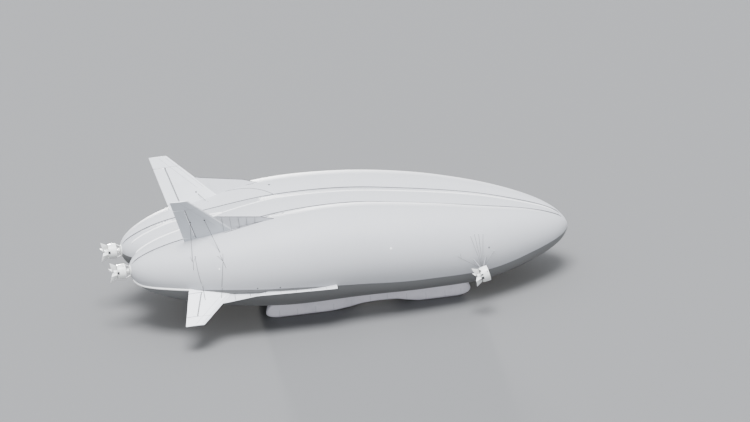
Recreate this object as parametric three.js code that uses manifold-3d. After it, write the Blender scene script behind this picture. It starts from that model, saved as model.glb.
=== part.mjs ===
// A hybrid airship at one tenth of its real size, parked on its two landing skids.
// Millimetres, +X to the nose, +Y to port, +Z up, with the floor at z = 0.
// Stations are counted aft from the nose, heights up from the stern propeller axes.
import * as THREE from "three";
import { mergeVertices } from "three/addons/utils/BufferGeometryUtils.js";
import Module from "manifold-3d";

const wasm = await Module();
wasm.setup();

// Driving sizes
const METRE = 100; // one real metre, at one tenth
const LENGTH = 92.0 * METRE;
const NOSE_X = LENGTH / 2;
const AXIS_HEIGHT = 12.4 * METRE; // stern propeller axes above the floor
const SKIN = 10; // thickness of the envelope
const GAP = 0.4; // between pieces that rest on each other
const HULL_SPAN = 88.2; // station where the hull's curves would close, in real metres
const TAIL_END = 0.965; // share of the hull's parameter where each tail is cut flat
const NOSE_END = 0.0;

// Hull sections: the share of the way aft, then real metres.
// Each side has an outer lobe, a circle, and an inner lobe, a circle that meets it in a crease.
const HULL_COLUMNS = ["share", "lobeOffset", "lobeRadius", "centreHeight", "creaseOffset"];
const HULL_SECTIONS = [
  [0.0, 0.25, 0.15, -3.4, 0.2],
  [0.05, 1.1, 1.25, -3.35, 0.7],
  [0.1, 2.25, 2.55, -3.2, 1.25],
  [0.2, 4.65, 5.0, -2.75, 2.15],
  [0.3, 7.1, 7.16, -2.18, 3.45],
  [0.4, 8.3, 8.45, -0.86, 3.8],
  [0.5, 8.42, 9.2, 0.15, 3.9],
  [0.6, 9.0, 9.08, 0.22, 4.5],
  [0.7, 9.05, 7.45, -0.05, 5.3],
  [0.8, 8.1, 5.42, 0.0, 5.5],
  [0.9, 6.75, 2.95, -0.1, 5.3],
  [1.0, 5.3, 0.0, 0.0, 5.25],
];
const HULL_STATIONS = 28;
const OUTSIDE_STEPS = { inner: 5, outer: 24 };
const CAVITY_STEPS = { inner: 3, outer: 14 };
const CAVITY = { from: 0.06, to: 0.9, stations: 18 };
const VALVE_OPENING = { station: 40, length: 300, width: 120 };

// Landing skids, in real metres: station, half width, height of the lowest point above the floor
const SKID_OFFSET = 7.5;
const SKID_SECTIONS = [
  [21.3, 0.35, 1.3],
  [21.8, 0.85, 0.75],
  [22.8, 1.2, 0.22],
  [24.2, 1.38, 0.0],
  [31.5, 1.38, 0.0],
  [34.0, 1.1, 0.35],
  [36.5, 0.9, 0.8],
  [42.5, 0.9, 0.8],
  [46.0, 1.1, 0.3],
  [49.5, 1.3, 0.0],
  [59.3, 1.3, 0.0],
  [60.6, 1.15, 0.2],
  [61.5, 0.8, 0.7],
  [62.0, 0.35, 1.25],
];
const SKID_REACH = 5.2; // how far a skid runs up, into the hull's outline before it is cut there
const SKID_FLAT = 0.42; // half width of the flat that rests on the floor, as a share of the half width
const SKID_CORNER_STEPS = 6;

// Fins: planes that hold the X direction. Outline points are station and distance along the span,
// and, where a strake leaves its fin's plane, the rise out of that plane, on its inner face.
const FIN_THICKNESS = 0.62;
const FIN_TIP_THICKNESS = 0.26;
// Section of a fin: share of the chord, share of the half thickness
const FIN_PROFILE = [[0, 0], [0.06, 0.55], [0.2, 0.92], [0.4, 1], [0.7, 0.68], [1, 0.08]];
const FIN_CUT_DEPTH = 2; // thicker than any fin, for cutting its outlines
const FIN_CUT_AFT = 84; // station behind every trailing edge
const STRAKE_THICKNESS = 0.09;
const STRAKE_GAP = 0.012; // real metres between a strake and its fin
const HINGE_GAP = 0.1; // real metres between a control surface and its fin
const PIN = { radius: 3, gap: 0.6, inside: 40 };
const FINS = {
  upper: {
    foot: [8.7, 7.0],
    lean: [0.324, 0.946],
    tip: { span: 9.5, lead: 76.95, trail: 80.45 },
    root: { span: -2.4, lead: 64.35, trail: 77.1 },
    hinge: { root: 75.28, end: 77.58, spanFrom: -0.2, spanTo: 7.25 },
    strake: [
      [71.95, 4.65],
      [62.4, 3.1],
      [59.4, 2.1],
      [59.4, -0.6],
      [66.5, -0.6],
    ],
  },
  lower: {
    foot: [14.2, -1.7],
    lean: [0.822, -0.569],
    tip: { span: 8.3, lead: 76.45, trail: 80.1 },
    root: { span: -3.6, lead: 64.3, trail: 77.1 },
    hinge: { root: 75.75, end: 77.5, spanFrom: 0.9, spanTo: 6.3 },
    strake: [
      [72.1, 4.0],
      [65.3, 3.86, 1.0],
      [49.4, 4.2, 0.7],
      [49.4, 0.6, 0.7],
      [66.9, -1.0],
    ],
  },
};
const STAY_RADIUS = 2.5;
// Main stays of each fin: station and span on the fin, then station, offset and height of a point
// in the hull that the stay aims at
const STAYS = {
  upper: [
    [76.4, 3.97, 77.0, 14.3, 1.85],
    [73.6, 4.16, 70.3, 15.95, 2.3],
    [71.9, 1.8, 69.5, 6.95, 6.6],
  ],
  lower: [
    [75.3, 3.2, 75.6, 12.6, 3.0],
    [72.2, 3.0, 70.8, 14.6, 3.0],
  ],
};

// Ducted propulsors, in model millimetres from the middle of the duct
const DUCT = { front: 80, back: -80, inner: 134, outer: 150, lip: 8 };
const NACELLE = { front: 4, back: -150, radius: 47, wall: 5 };
const STATOR = { count: 4, x: -48, chord: 44, thickness: 8 };
const PROPELLER = { hubRadius: 30, hubFront: 34, spinner: 74, tipRadius: 128, blades: 3, chord: 34 };
const BLADE_MIDDLE = 20;
// Sections of a blade: share of the way out, twist in degrees, thickness, share of the chord
const BLADE_SECTIONS = [
  [0, 62, 13, 0.62],
  [0.24, 52, 9, 1],
  [0.59, 36, 6, 1],
  [1, 24, 3, 0.7],
];
const VANE = { count: 4, thickness: 6, hubRadius: 40, hubLength: 16 };
// Vane outline: distance from the duct's middle and from the axis
const VANE_OUTLINE = [
  [-152, 12],
  [-152, 52],
  [-92, 52],
  [-92, 138],
  [-220, 205],
  [-196, 104],
  [-166, 12],
];
const STERN_ENGINE = { station: 89.8, offset: 5.25, height: 0.0 };
const FORWARD_ENGINE = { station: 20.5, offset: 19.7, height: -3.5, tilt: 13.5 };
const TRUNNION = { radius: 16, length: 22, root: 4 };
const STRUT_RADIUS = 9;
const STERN_STRUT = { count: 4, radius: 6 };
const STERN_CONE = { rim: 4, edge: 12, waist: 150, waistRadius: 40, nose: 94, noseRadius: 26 };
// Feet of a forward mount on the hull: station and height, in real metres
const FORWARD_FEET = [[18.3, -1.0], [22.9, -1.0], [18.3, -4.4], [22.9, -4.4]];
const FORWARD_FOOT = { inside: 12.4, outside: 15.6, aim: 12.6, radius: 26, thickness: 9 };
const FORWARD_BLOCK = { radius: 24, length: 34, strutEnd: 22 };

// Cabin and keel modules under the centreline, in real metres
const KEEL = {
  width: 3.3,
  floor: -11.75,
  cabinFront: 19.2,
  cabinBack: 27.2,
  moduleBack: 45.2,
  fuelBack: 58.6,
  wall: 0.12,
  roof: -6.6, // where the modules are cut off inside the hull's outline
  joint: 0.004, // between two modules
  payloadFloor: -11.3,
  fuelFloor: -10.7,
};

// Outer form of the cabin, from back to front, in model millimetres:
// distance behind the front, share of the keel's half width, rise of the floor
const CABIN_FORM = [
  [230, 1, 0],
  [90, 0.92, 22],
  [20, 0.72, 62],
  [0, 0.5, 105],
];
const CABIN_CHAMFER = { side: 26, up: 40 };
// Cut-outs in the cabin's walls, in model millimetres behind its front and above its floor
const SIDE_WINDOWS = [[150, 310], [340, 470]];
const WINDOW = { low: 78, high: 168, edge: 8, bandBack: 480 };
const WINDSCREEN = { back: 95, half: 76, low: 88, high: 168 };
const DOOR = { from: 560, to: 665, low: 42, high: 200, clearance: 1.5, handle: 3 };
const DOOR_PIN = { behind: 4, inward: 3, radius: 2, root: 6 };
const CABIN_CEILING = 205;
const PANE = 3;
// What stands on the cabin's floor: from, to behind the front, left and right edge, low and high
const CABIN_BLOCKS = [
  [246, 780, -120, 120, 0, 6],
  [180, 236, -85, 85, 40, 72],
  [200, 270, -20, 20, 14, 50],
  [250, 270, -20, 20, 2, 15],
];
// The same for one seat, about its own middle
const SEAT_OFFSET = 69;
const SEAT_BLOCKS = [
  [300, 356, -26, 26, 30, 46],
  [350, 362, -26, 26, 34, 110],
  [310, 340, -10, 10, 3, 34],
];

const materials = {
  envelope: new THREE.MeshStandardMaterial({ color: 0xdfe1e6, roughness: 0.6, metalness: 0 }),
  fin: new THREE.MeshStandardMaterial({ color: 0xe6e8ea, roughness: 0.5, metalness: 0 }),
  skid: new THREE.MeshStandardMaterial({ color: 0x9c9cab, roughness: 0.75, metalness: 0 }),
  engine: new THREE.MeshStandardMaterial({ color: 0xeeeeee, roughness: 0.4, metalness: 0.1 }),
  frame: new THREE.MeshStandardMaterial({ color: 0x3c4046, roughness: 0.5, metalness: 0.3 }),
  blade: new THREE.MeshStandardMaterial({ color: 0x1d1f22, roughness: 0.4, metalness: 0 }),
  cabin: new THREE.MeshStandardMaterial({ color: 0xe2e4e6, roughness: 0.4, metalness: 0.1 }),
  glass: new THREE.MeshStandardMaterial({ color: 0x24303a, roughness: 0.1, metalness: 0 }),
  seat: new THREE.MeshStandardMaterial({ color: 0x33373c, roughness: 0.8, metalness: 0 }),
};

// Placing: real metres to model millimetres
const xAt = (station) => NOSE_X - station * METRE;
const yAt = (offset) => offset * METRE;
const zAt = (height) => AXIS_HEIGHT + height * METRE;
const place = (station, offset, height) =>
  new THREE.Vector3(xAt(station), yAt(offset), zAt(height));

// Solids
function solid(geometry, matrix) {
  const g = (geometry.index ? geometry.toNonIndexed() : geometry.clone());
  g.deleteAttribute("normal");
  g.deleteAttribute("uv");
  if (matrix) g.applyMatrix4(matrix);
  const merged = mergeVertices(g, 1e-3);
  return new wasm.Manifold(new wasm.Mesh({
    numProp: 3,
    vertProperties: merged.attributes.position.array,
    triVerts: new Uint32Array(merged.index.array),
  }));
}

function union(solids) {
  return solids.reduce((sum, next) => sum.add(next));
}

function largest(body) {
  return body.decompose().reduce((best, next) => (next.volume() > best.volume() ? next : best));
}

function geometryOf(body) {
  const mesh = body.getMesh();
  const geometry = new THREE.BufferGeometry();
  geometry.setAttribute("position", new THREE.BufferAttribute(mesh.vertProperties, 3));
  geometry.setIndex(new THREE.BufferAttribute(mesh.triVerts, 1));
  return geometry;
}

// A closed skin over rings of equal length, each a list of points that runs the same way round
function skinOver(rings) {
  const count = rings[0].length;
  const position = [];
  const index = [];
  for (const ring of rings) for (const point of ring) position.push(point.x, point.y, point.z);
  for (let i = 0; i + 1 < rings.length; i++) {
    for (let k = 0; k < count; k++) {
      const next = (k + 1) % count;
      const a = i * count + k;
      const b = i * count + next;
      index.push(a, b, b + count, a, b + count, a + count);
    }
  }
  for (const [start, flip] of [[0, true], [(rings.length - 1) * count, false]]) {
    const ring = position.slice(start * 3, (start + count) * 3);
    const centre = new THREE.Vector3();
    for (let k = 0; k < count; k++) centre.add(new THREE.Vector3().fromArray(ring, k * 3));
    centre.divideScalar(count);
    const middle = position.length / 3;
    position.push(centre.x, centre.y, centre.z);
    for (let k = 0; k < count; k++) {
      const next = (k + 1) % count;
      if (flip) index.push(middle, start + next, start + k);
      else index.push(middle, start + k, start + next);
    }
  }
  const geometry = new THREE.BufferGeometry();
  geometry.setAttribute("position", new THREE.Float32BufferAttribute(position, 3));
  geometry.setIndex(index);
  return solid(geometry);
}

// The same with its faces turned outwards, whichever way the rings run
function loft(rings) {
  const body = skinOver(rings);
  return body.volume() < 0 ? skinOver([...rings].reverse()) : body;
}

// A straight bar of round section between two points
function bar(from, to, radius, sides = 8) {
  const along = new THREE.Vector3().subVectors(to, from);
  const geometry = new THREE.CylinderGeometry(radius, radius, along.length(), sides);
  const turn = new THREE.Quaternion().setFromUnitVectors(
    new THREE.Vector3(0, 1, 0), along.clone().normalize());
  const middle = new THREE.Vector3().addVectors(from, to).multiplyScalar(0.5);
  return solid(geometry, new THREE.Matrix4().compose(middle, turn, new THREE.Vector3(1, 1, 1)));
}

function box(low, high) {
  const size = new THREE.Vector3().subVectors(high, low);
  const middle = new THREE.Vector3().addVectors(low, high).multiplyScalar(0.5);
  return solid(new THREE.BoxGeometry(size.x, size.y, size.z),
    new THREE.Matrix4().setPosition(middle));
}

// A turned body: profile points are distance along X and radius
function turned(profile, sides) {
  const points = profile.map(([x, r]) => new THREE.Vector2(r, x));
  const geometry = new THREE.LatheGeometry(points, sides);
  const toX = new THREE.Matrix4().makeRotationZ(-Math.PI / 2);
  const body = solid(geometry, toX);
  return body.volume() < 0 ? solid(geometry.scale(1, 1, -1), toX) : body;
}

// Hull
function hullValues(share) {
  const rows = HULL_SECTIONS;
  let i = 0;
  while (i < rows.length - 2 && share > rows[i + 1][0]) i++;
  const t = (share - rows[i][0]) / (rows[i + 1][0] - rows[i][0]);
  const slope = (j, k) => {
    const low = Math.max(j - 1, 0);
    const high = Math.min(j + 1, rows.length - 1);
    return (rows[high][k] - rows[low][k]) / (rows[high][0] - rows[low][0]);
  };
  const values = {};
  HULL_COLUMNS.forEach((name, k) => {
    const width = rows[i + 1][0] - rows[i][0];
    const a = rows[i][k];
    const b = rows[i + 1][k];
    const ma = slope(i, k) * width;
    const mb = slope(i + 1, k) * width;
    values[name] = a * (1 + 2 * t) * (1 - t) ** 2 + ma * t * (1 - t) ** 2
      + b * t * t * (3 - 2 * t) + mb * t * t * (t - 1);
  });
  return values;
}

// The half section at a share of the way aft, grown outwards by an offset in millimetres
function halfSection(share, grow, steps) {
  const v = hullValues(share);
  const station = HULL_SPAN * (1 - Math.cos(Math.PI * share)) / 2;
  const c = v.lobeOffset * METRE;
  const r = v.lobeRadius * METRE;
  const crease = v.creaseOffset * METRE;
  const rise = Math.sqrt(Math.max(r * r - (c - crease) ** 2, 0));
  const inner = Math.max(2 * crease - c, 0);
  const innerRadius = Math.hypot(crease - inner, rise) + grow;
  const outerRadius = r + grow;
  const meet = (c * c - inner * inner + innerRadius ** 2 - outerRadius ** 2) / (2 * (c - inner));
  const start = Math.max(0, inner - innerRadius);
  const innerFrom = Math.acos(THREE.MathUtils.clamp((start - inner) / innerRadius, -1, 1));
  const innerTo = Math.acos(THREE.MathUtils.clamp((meet - inner) / innerRadius, -1, 1));
  const outerFrom = Math.acos(THREE.MathUtils.clamp((meet - c) / outerRadius, -1, 1));
  const x = xAt(station);
  const z = zAt(v.centreHeight);
  const ring = [];
  const add = (middle, radius, angle) => ring.push(new THREE.Vector3(
    x, middle + radius * Math.cos(angle), z + radius * Math.sin(angle)));
  for (let k = 0; k <= steps.inner; k++)
    add(inner, innerRadius, innerFrom + (innerTo - innerFrom) * k / steps.inner);
  for (let k = 1; k <= steps.outer; k++)
    add(c, outerRadius, outerFrom - 2 * outerFrom * k / steps.outer);
  for (let k = 1; k <= steps.inner; k++)
    add(inner, innerRadius, -innerTo + (innerTo - innerFrom) * k / steps.inner);
  if (start === 0) ring[0].y = ring[ring.length - 1].y = 0;
  return ring;
}

function mirrored(body) {
  return body.mirror([0, 1, 0]);
}

function hullSolid(grow, from, to, stations, steps = OUTSIDE_STEPS) {
  const rings = [];
  for (let i = 0; i <= stations; i++) {
    const share = from + (to - from) * i / stations;
    rings.push(halfSection(share, grow, steps));
  }
  const half = skinOver(rings);
  return half.add(mirrored(half));
}

const hullOutside = hullSolid(0, NOSE_END, TAIL_END, HULL_STATIONS);
const hullClear = hullSolid(GAP, NOSE_END, TAIL_END, HULL_STATIONS);

function envelope() {
  const cavity = hullSolid(-SKIN, CAVITY.from, CAVITY.to, CAVITY.stations, CAVITY_STEPS);
  const { station, length, width } = VALVE_OPENING;
  const hatch = box(
    new THREE.Vector3(xAt(station) - length / 2, -width / 2, zAt(-11)),
    new THREE.Vector3(xAt(station) + length / 2, width / 2, zAt(-6)),
  );
  return hullOutside.subtract(cavity).subtract(hatch);
}

// Landing skids
function skid() {
  const rings = SKID_SECTIONS.map(([station, halfWidth, lift]) => {
    const half = halfWidth * METRE;
    const low = lift * METRE;
    const top = low + SKID_REACH * METRE;
    const flat = half * SKID_FLAT;
    const ring = [[-half, top], [half, top]];
    const corner = half - flat;
    const rounded = [];
    for (let k = 0; k <= SKID_CORNER_STEPS; k++) {
      const angle = (Math.PI / 2) * k / SKID_CORNER_STEPS;
      rounded.push([flat + corner * Math.cos(angle), low + corner * (1 - Math.sin(angle))]);
    }
    ring.push(...rounded, ...rounded.map(([y, z]) => [-y, z]).reverse());
    return ring.map(([y, z]) => new THREE.Vector3(xAt(station), yAt(SKID_OFFSET) + y, z));
  });
  return largest(skinOver(rings).subtract(hullClear));
}

// Fins
function finFrame(fin) {
  const { foot, lean } = fin;
  const across = [lean[1], -lean[0]];
  return (station, span, off) => new THREE.Vector3(
    xAt(station),
    yAt(foot[0] + lean[0] * span + across[0] * off),
    zAt(foot[1] + lean[1] * span + across[1] * off),
  );
}

function finSection(point, span, lead, trail, thickness) {
  const half = thickness / 2;
  const chord = trail - lead;
  const upper = FIN_PROFILE.map(([t, h]) => point(lead + chord * t, span, half * h));
  const under = FIN_PROFILE.slice(1).reverse().map(([t, h]) => point(lead + chord * t, span, -half * h));
  return [...upper, ...under];
}

function finBlank(fin) {
  const point = finFrame(fin);
  const { root, tip } = fin;
  return loft([
    finSection(point, root.span, root.lead, root.trail, FIN_THICKNESS),
    finSection(point, tip.span, tip.lead, tip.trail, FIN_TIP_THICKNESS),
  ]);
}

// A plate over an outline in the fin's plane
function plate(fin, outline, thickness) {
  const point = finFrame(fin);
  return loft([-thickness / 2, thickness / 2].map((off) =>
    outline.map(([station, span, rise = 0]) => point(station, span, off - rise))));
}

// The station of the hinge line at a distance along the span
function hingeAt(fin, span) {
  const { hinge } = fin;
  const slope = (hinge.end - hinge.root) / (hinge.spanTo - hinge.spanFrom);
  return hinge.root + slope * (span - hinge.spanFrom);
}

function controlOutline(fin, gap, endGap = gap) {
  const low = fin.hinge.spanFrom + endGap;
  const high = fin.hinge.spanTo - endGap;
  return [
    [hingeAt(fin, low) + gap, low],
    [hingeAt(fin, high) + gap, high],
    [FIN_CUT_AFT, high],
    [FIN_CUT_AFT, low],
  ];
}

// The two pins at the ends of a control surface, on its hinge line
function hingePins(fin) {
  const point = finFrame(fin);
  const { spanFrom, spanTo } = fin.hinge;
  const onLine = (span) => point(hingeAt(fin, span) + HINGE_GAP, span, 0);
  const reach = PIN.inside / METRE;
  const room = plate(fin, controlOutline(fin, -1, PIN.gap / METRE), FIN_CUT_DEPTH);
  return [[spanFrom - 0.1, spanFrom + reach], [spanTo - reach, spanTo + 0.1]].map(([a, b]) =>
    bar(onLine(a), onLine(b), PIN.radius, 8).intersect(room));
}

function finParts(fin, stays) {
  const blank = finBlank(fin);
  const notch = plate(fin, controlOutline(fin, 0), FIN_CUT_DEPTH);
  const keep = plate(fin, controlOutline(fin, HINGE_GAP), FIN_CUT_DEPTH);
  const point = finFrame(fin);
  const fixed = largest(blank.subtract(notch).subtract(hullClear));
  const stayBars = stays.map(([station, span, footStation, offset, height]) =>
    bar(point(station, span, 0), place(footStation, offset, height), STAY_RADIUS, 6));
  return {
    fin: union([fixed, ...stayBars.map((stay) => largest(stay.subtract(hullClear)))]),
    control: union([largest(blank.intersect(keep).subtract(hullClear)), ...hingePins(fin)]),
    strake: largest(plate(fin, fin.strake, STRAKE_THICKNESS)
      .subtract(hullClear)
      .subtract(grownFin(fin))),
  };
}

// The fin grown forward by the gap that its strake keeps
function grownFin(fin) {
  const { root, tip } = fin;
  const shift = (row) => ({ ...row, lead: row.lead - STRAKE_GAP });
  return finBlank({ ...fin, root: shift(root), tip: shift(tip) });
}

// Ducted propulsors, made about their own axis
function ductRing() {
  const { front, back, inner, outer, lip } = DUCT;
  const ring = turned([
    [back, inner + 3], [back, outer - 8], [0, outer], [front - lip, outer],
    [front - 2, outer - 3], [front, (inner + outer) / 2], [front - 2, inner + 3],
    [front - lip, inner], [back, inner + 3],
  ], 28);
  const stators = [];
  for (let k = 0; k < STATOR.count; k++) {
    const blade = new THREE.BoxGeometry(STATOR.chord, STATOR.thickness, inner - NACELLE.radius + 2);
    const turn = new THREE.Matrix4().makeRotationX(2 * Math.PI * (k + 0.5) / STATOR.count);
    const lift = new THREE.Matrix4().setPosition(
      STATOR.x, 0, (inner + NACELLE.radius) / 2 + GAP + 1);
    stators.push(solid(blade, turn.multiply(lift)));
  }
  return union([ring, ...stators]);
}

function nacelleCowl() {
  const { front, back, radius, wall } = NACELLE;
  return turned([
    [front, 0], [front, radius - 14], [front - 10, radius - 3], [front - 24, radius],
    [back + 50, radius], [back, radius - 6], [back, radius - 6 - wall],
    [back + 50, radius - wall], [front - 24, radius - wall], [front - 24, 0],
  ], 16);
}

function engineBlock() {
  const { front, back, radius, wall } = NACELLE;
  const half = (radius - wall - GAP) / Math.SQRT2;
  return box(new THREE.Vector3(back + 52, -half, -half), new THREE.Vector3(front - 26, half, half));
}

function propeller() {
  const { hubRadius, hubFront, spinner, tipRadius, blades, chord } = PROPELLER;
  const back = NACELLE.front + GAP;
  const hub = turned([
    [back, 0], [back, hubRadius], [hubFront, hubRadius], [hubFront + 18, hubRadius - 6],
    [spinner - 10, hubRadius * 0.45], [spinner, 0],
  ], 14);
  const parts = [hub];
  for (let k = 0; k < blades; k++) {
    const root = hubRadius * 0.6;
    const rings = BLADE_SECTIONS.map(([share, twist, thick, wide]) => {
      const radius = root + (tipRadius - root) * share;
      const angle = THREE.MathUtils.degToRad(twist);
      const half = chord * wide / 2;
      const corners = [[-half, 0], [-half * 0.2, thick / 2], [half, 0], [-half * 0.2, -thick / 2]];
      return corners.map(([a, b]) => new THREE.Vector3(
        BLADE_MIDDLE + a * Math.sin(angle) + b * Math.cos(angle),
        a * Math.cos(angle) - b * Math.sin(angle),
        radius,
      ));
    });
    parts.push(loft(rings).rotate([360 * k / blades, 0, 0]));
  }
  return union(parts);
}

function vaneSet() {
  const { thickness, hubRadius, hubLength } = VANE;
  const start = NACELLE.back - GAP;
  const hub = turned([
    [start, 0], [start, hubRadius], [start - hubLength, hubRadius - 10], [start - hubLength - 10, 0],
  ], 14);
  const shape = new THREE.Shape(VANE_OUTLINE.map(([x, r]) => new THREE.Vector2(x, r)));
  const parts = [hub];
  for (let k = 0; k < VANE.count; k++) {
    const sheet = new THREE.ExtrudeGeometry(shape, { depth: thickness, bevelEnabled: false });
    const toPlane = new THREE.Matrix4().makeRotationX(Math.PI / 2)
      .setPosition(0, thickness / 2, 0);
    const turn = new THREE.Matrix4().makeRotationX(2 * Math.PI * k / VANE.count);
    parts.push(solid(sheet, turn.multiply(toPlane)));
  }
  return union(parts);
}

// What carries each propulsor
function sternMount() {
  const { station, offset, height } = STERN_ENGINE;
  const hub = place(station, offset, height);
  const tail = hullValues(TAIL_END);
  const tailStation = HULL_SPAN * (1 - Math.cos(Math.PI * TAIL_END)) / 2;
  const faceX = xAt(tailStation) - GAP;
  const radius = tail.lobeRadius * METRE;
  const length = faceX - hub.x;
  const { rim, edge, waist, waistRadius, nose, noseRadius } = STERN_CONE;
  const parts = [turned([
    [length, 0], [length, radius + rim], [length - edge, radius + rim], [waist, waistRadius],
    [nose + rim, noseRadius], [nose, 0],
  ], 18)];
  const ductMiddle = (DUCT.inner + DUCT.outer) / 2;
  for (let k = 0; k < STERN_STRUT.count; k++) {
    const angle = 2 * Math.PI * (k + 0.5) / STERN_STRUT.count;
    const at = (x, r) => new THREE.Vector3(x, r * Math.cos(angle), r * Math.sin(angle));
    parts.push(bar(at(length - edge, radius - edge), at(DUCT.front + 2 * GAP, ductMiddle),
      STERN_STRUT.radius));
  }
  const room = 4 * METRE;
  const clip = box(new THREE.Vector3(DUCT.front + GAP, -room, -room), new THREE.Vector3(2 * room, room, room));
  return union(parts).intersect(clip);
}

function forwardMount() {
  const { station, offset, height } = FORWARD_ENGINE;
  const hub = place(station, offset, height);
  const end = new THREE.Vector3(hub.x, hub.y - DUCT.outer - TRUNNION.length - GAP, hub.z);
  const inward = (depth) => new THREE.Vector3(end.x, end.y - depth, end.z);
  const parts = [bar(inward(FORWARD_BLOCK.length), end, FORWARD_BLOCK.radius, 16)];
  const band = hullSolid(FORWARD_FOOT.thickness, 0.2, 0.42, 14);
  for (const [footStation, footHeight] of FORWARD_FEET) {
    const at = (offset) => place(footStation, offset, footHeight);
    const pad = bar(at(FORWARD_FOOT.inside), at(FORWARD_FOOT.outside), FORWARD_FOOT.radius, 16);
    parts.push(pad.intersect(band));
    parts.push(bar(at(FORWARD_FOOT.aim), inward(FORWARD_BLOCK.strutEnd), STRUT_RADIUS));
  }
  return largest(union(parts).subtract(hullClear));
}

// The boss on a forward duct that turns in its mount
function trunnion() {
  return bar(
    new THREE.Vector3(0, TRUNNION.root - DUCT.outer, 0),
    new THREE.Vector3(0, -DUCT.outer - TRUNNION.length, 0),
    TRUNNION.radius, 16);
}

// Cabin and keel modules
const keelHalf = (KEEL.width / 2) * METRE;

function keelModule(fromStation, toStation, floor) {
  return largest(box(
    new THREE.Vector3(xAt(toStation), -keelHalf, zAt(floor)),
    new THREE.Vector3(xAt(fromStation), keelHalf, zAt(KEEL.roof)),
  ).subtract(hullClear));
}

function cabinOuter(inset) {
  const low = zAt(KEEL.floor) + inset;
  const half = keelHalf - inset;
  const front = xAt(KEEL.cabinFront) - inset;
  const length = front - xAt(KEEL.cabinBack) - inset;
  const top = zAt(KEEL.roof);
  const { side, up } = CABIN_CHAMFER;
  const rings = [[length, 1, 0], ...CABIN_FORM].map(([behind, share, rise]) => {
    const h = half * share;
    const outline = [
      [-h, top], [h, top], [h, low + rise + up], [h - side, low + rise],
      [side - h, low + rise], [-h, low + rise + up],
    ];
    return outline.map(([y, z]) => new THREE.Vector3(front - behind, y, z));
  });
  return loft(rings).subtract(hullClear);
}

const cabinFrontX = xAt(KEEL.cabinFront);
const cabinFloorZ = zAt(KEEL.floor);

function windowCutters() {
  const side = SIDE_WINDOWS.map(([from, to]) => box(
    new THREE.Vector3(cabinFrontX - to, -METRE * 3, cabinFloorZ + WINDOW.low),
    new THREE.Vector3(cabinFrontX - from, METRE * 3, cabinFloorZ + WINDOW.high)));
  const front = box(
    new THREE.Vector3(cabinFrontX - WINDSCREEN.back, -WINDSCREEN.half, cabinFloorZ + WINDSCREEN.low),
    new THREE.Vector3(cabinFrontX + 80, WINDSCREEN.half, cabinFloorZ + WINDSCREEN.high));
  return [...side, front];
}

// The block through one side wall that a door fills, grown by an edge on its four sides
function doorBlock(edge, depth = KEEL.wall * METRE) {
  return box(
    new THREE.Vector3(cabinFrontX - DOOR.to - edge, keelHalf - depth, cabinFloorZ + DOOR.low - edge),
    new THREE.Vector3(cabinFrontX - DOOR.from + edge, keelHalf, cabinFloorZ + DOOR.high + edge));
}

function cabinDoor() {
  const z = cabinFloorZ + (DOOR.low + DOOR.high) / 2;
  const x = cabinFrontX - DOOR.to + 18;
  const handle = box(
    new THREE.Vector3(x - 4, keelHalf - 1, z - 9),
    new THREE.Vector3(x + 4, keelHalf + DOOR.handle, z + 9));
  const pins = [DOOR.low, DOOR.high].map((end) => {
    const out = end === DOOR.low ? -1 : 1;
    const at = (dz) => new THREE.Vector3(
      cabinFrontX - DOOR.from - DOOR_PIN.behind,
      keelHalf - DOOR_PIN.inward,
      cabinFloorZ + end + out * dz);
    return bar(at(-DOOR_PIN.root), at(DOOR.clearance - GAP), DOOR_PIN.radius, 8);
  });
  return union([doorBlock(0), handle, ...pins]);
}

function cabinShell() {
  const wall = KEEL.wall * METRE;
  const back = xAt(KEEL.cabinBack);
  const room = box(
    new THREE.Vector3(back + wall, -keelHalf + wall, cabinFloorZ + wall),
    new THREE.Vector3(cabinFrontX, keelHalf - wall, cabinFloorZ + CABIN_CEILING));
  const doorway = doorBlock(DOOR.clearance, 2 * wall);
  return largest([...windowCutters(), doorway, mirrored(doorway)].reduce(
    (body, cutter) => body.subtract(cutter),
    cabinOuter(0).subtract(cabinOuter(wall).intersect(room))));
}

// One band of glazing inside the cabin's walls, round both sides and the front
function cabinGlazing() {
  const wall = KEEL.wall * METRE;
  const band = box(
    new THREE.Vector3(cabinFrontX - WINDOW.bandBack, -METRE * 3, cabinFloorZ + WINDOW.low - WINDOW.edge),
    new THREE.Vector3(cabinFrontX + PANE, METRE * 3, cabinFloorZ + WINDOW.high + WINDOW.edge));
  return largest(cabinOuter(wall + GAP).subtract(cabinOuter(wall + GAP + PANE)).intersect(band));
}

// Floor, two crew seats and an instrument panel
function cabinInterior() {
  const low = cabinFloorZ + KEEL.wall * METRE + GAP;
  const block = ([from, to, right, left, bottom, top], middle = 0) => box(
    new THREE.Vector3(cabinFrontX - to, middle + right, low + bottom),
    new THREE.Vector3(cabinFrontX - from, middle + left, low + top));
  const parts = CABIN_BLOCKS.map((row) => block(row));
  for (const side of [-SEAT_OFFSET, SEAT_OFFSET])
    parts.push(...SEAT_BLOCKS.map((row) => block(row, side)));
  return union(parts);
}

function mesh(name, body, material) {
  const piece = new THREE.Mesh(geometryOf(body), material);
  piece.name = name;
  return piece;
}

const airship = new THREE.Group();
airship.add(mesh("envelope", envelope(), materials.envelope));

const leftSkid = skid();
airship.add(mesh("landing_skid_left", leftSkid, materials.skid));
airship.add(mesh("landing_skid_right", mirrored(leftSkid), materials.skid));

const SIDES = [["left", (body) => body], ["right", mirrored]];
for (const [level, fin] of Object.entries(FINS)) {
  const parts = finParts(fin, STAYS[level]);
  for (const [side, hand] of SIDES) {
    airship.add(mesh(`fin_${level}_${side}`, hand(parts.fin), materials.fin));
    airship.add(mesh(`control_surface_${level}_${side}`, hand(parts.control), materials.fin));
    airship.add(mesh(`strake_${level}_${side}`, hand(parts.strake), materials.fin));
  }
}

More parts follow.
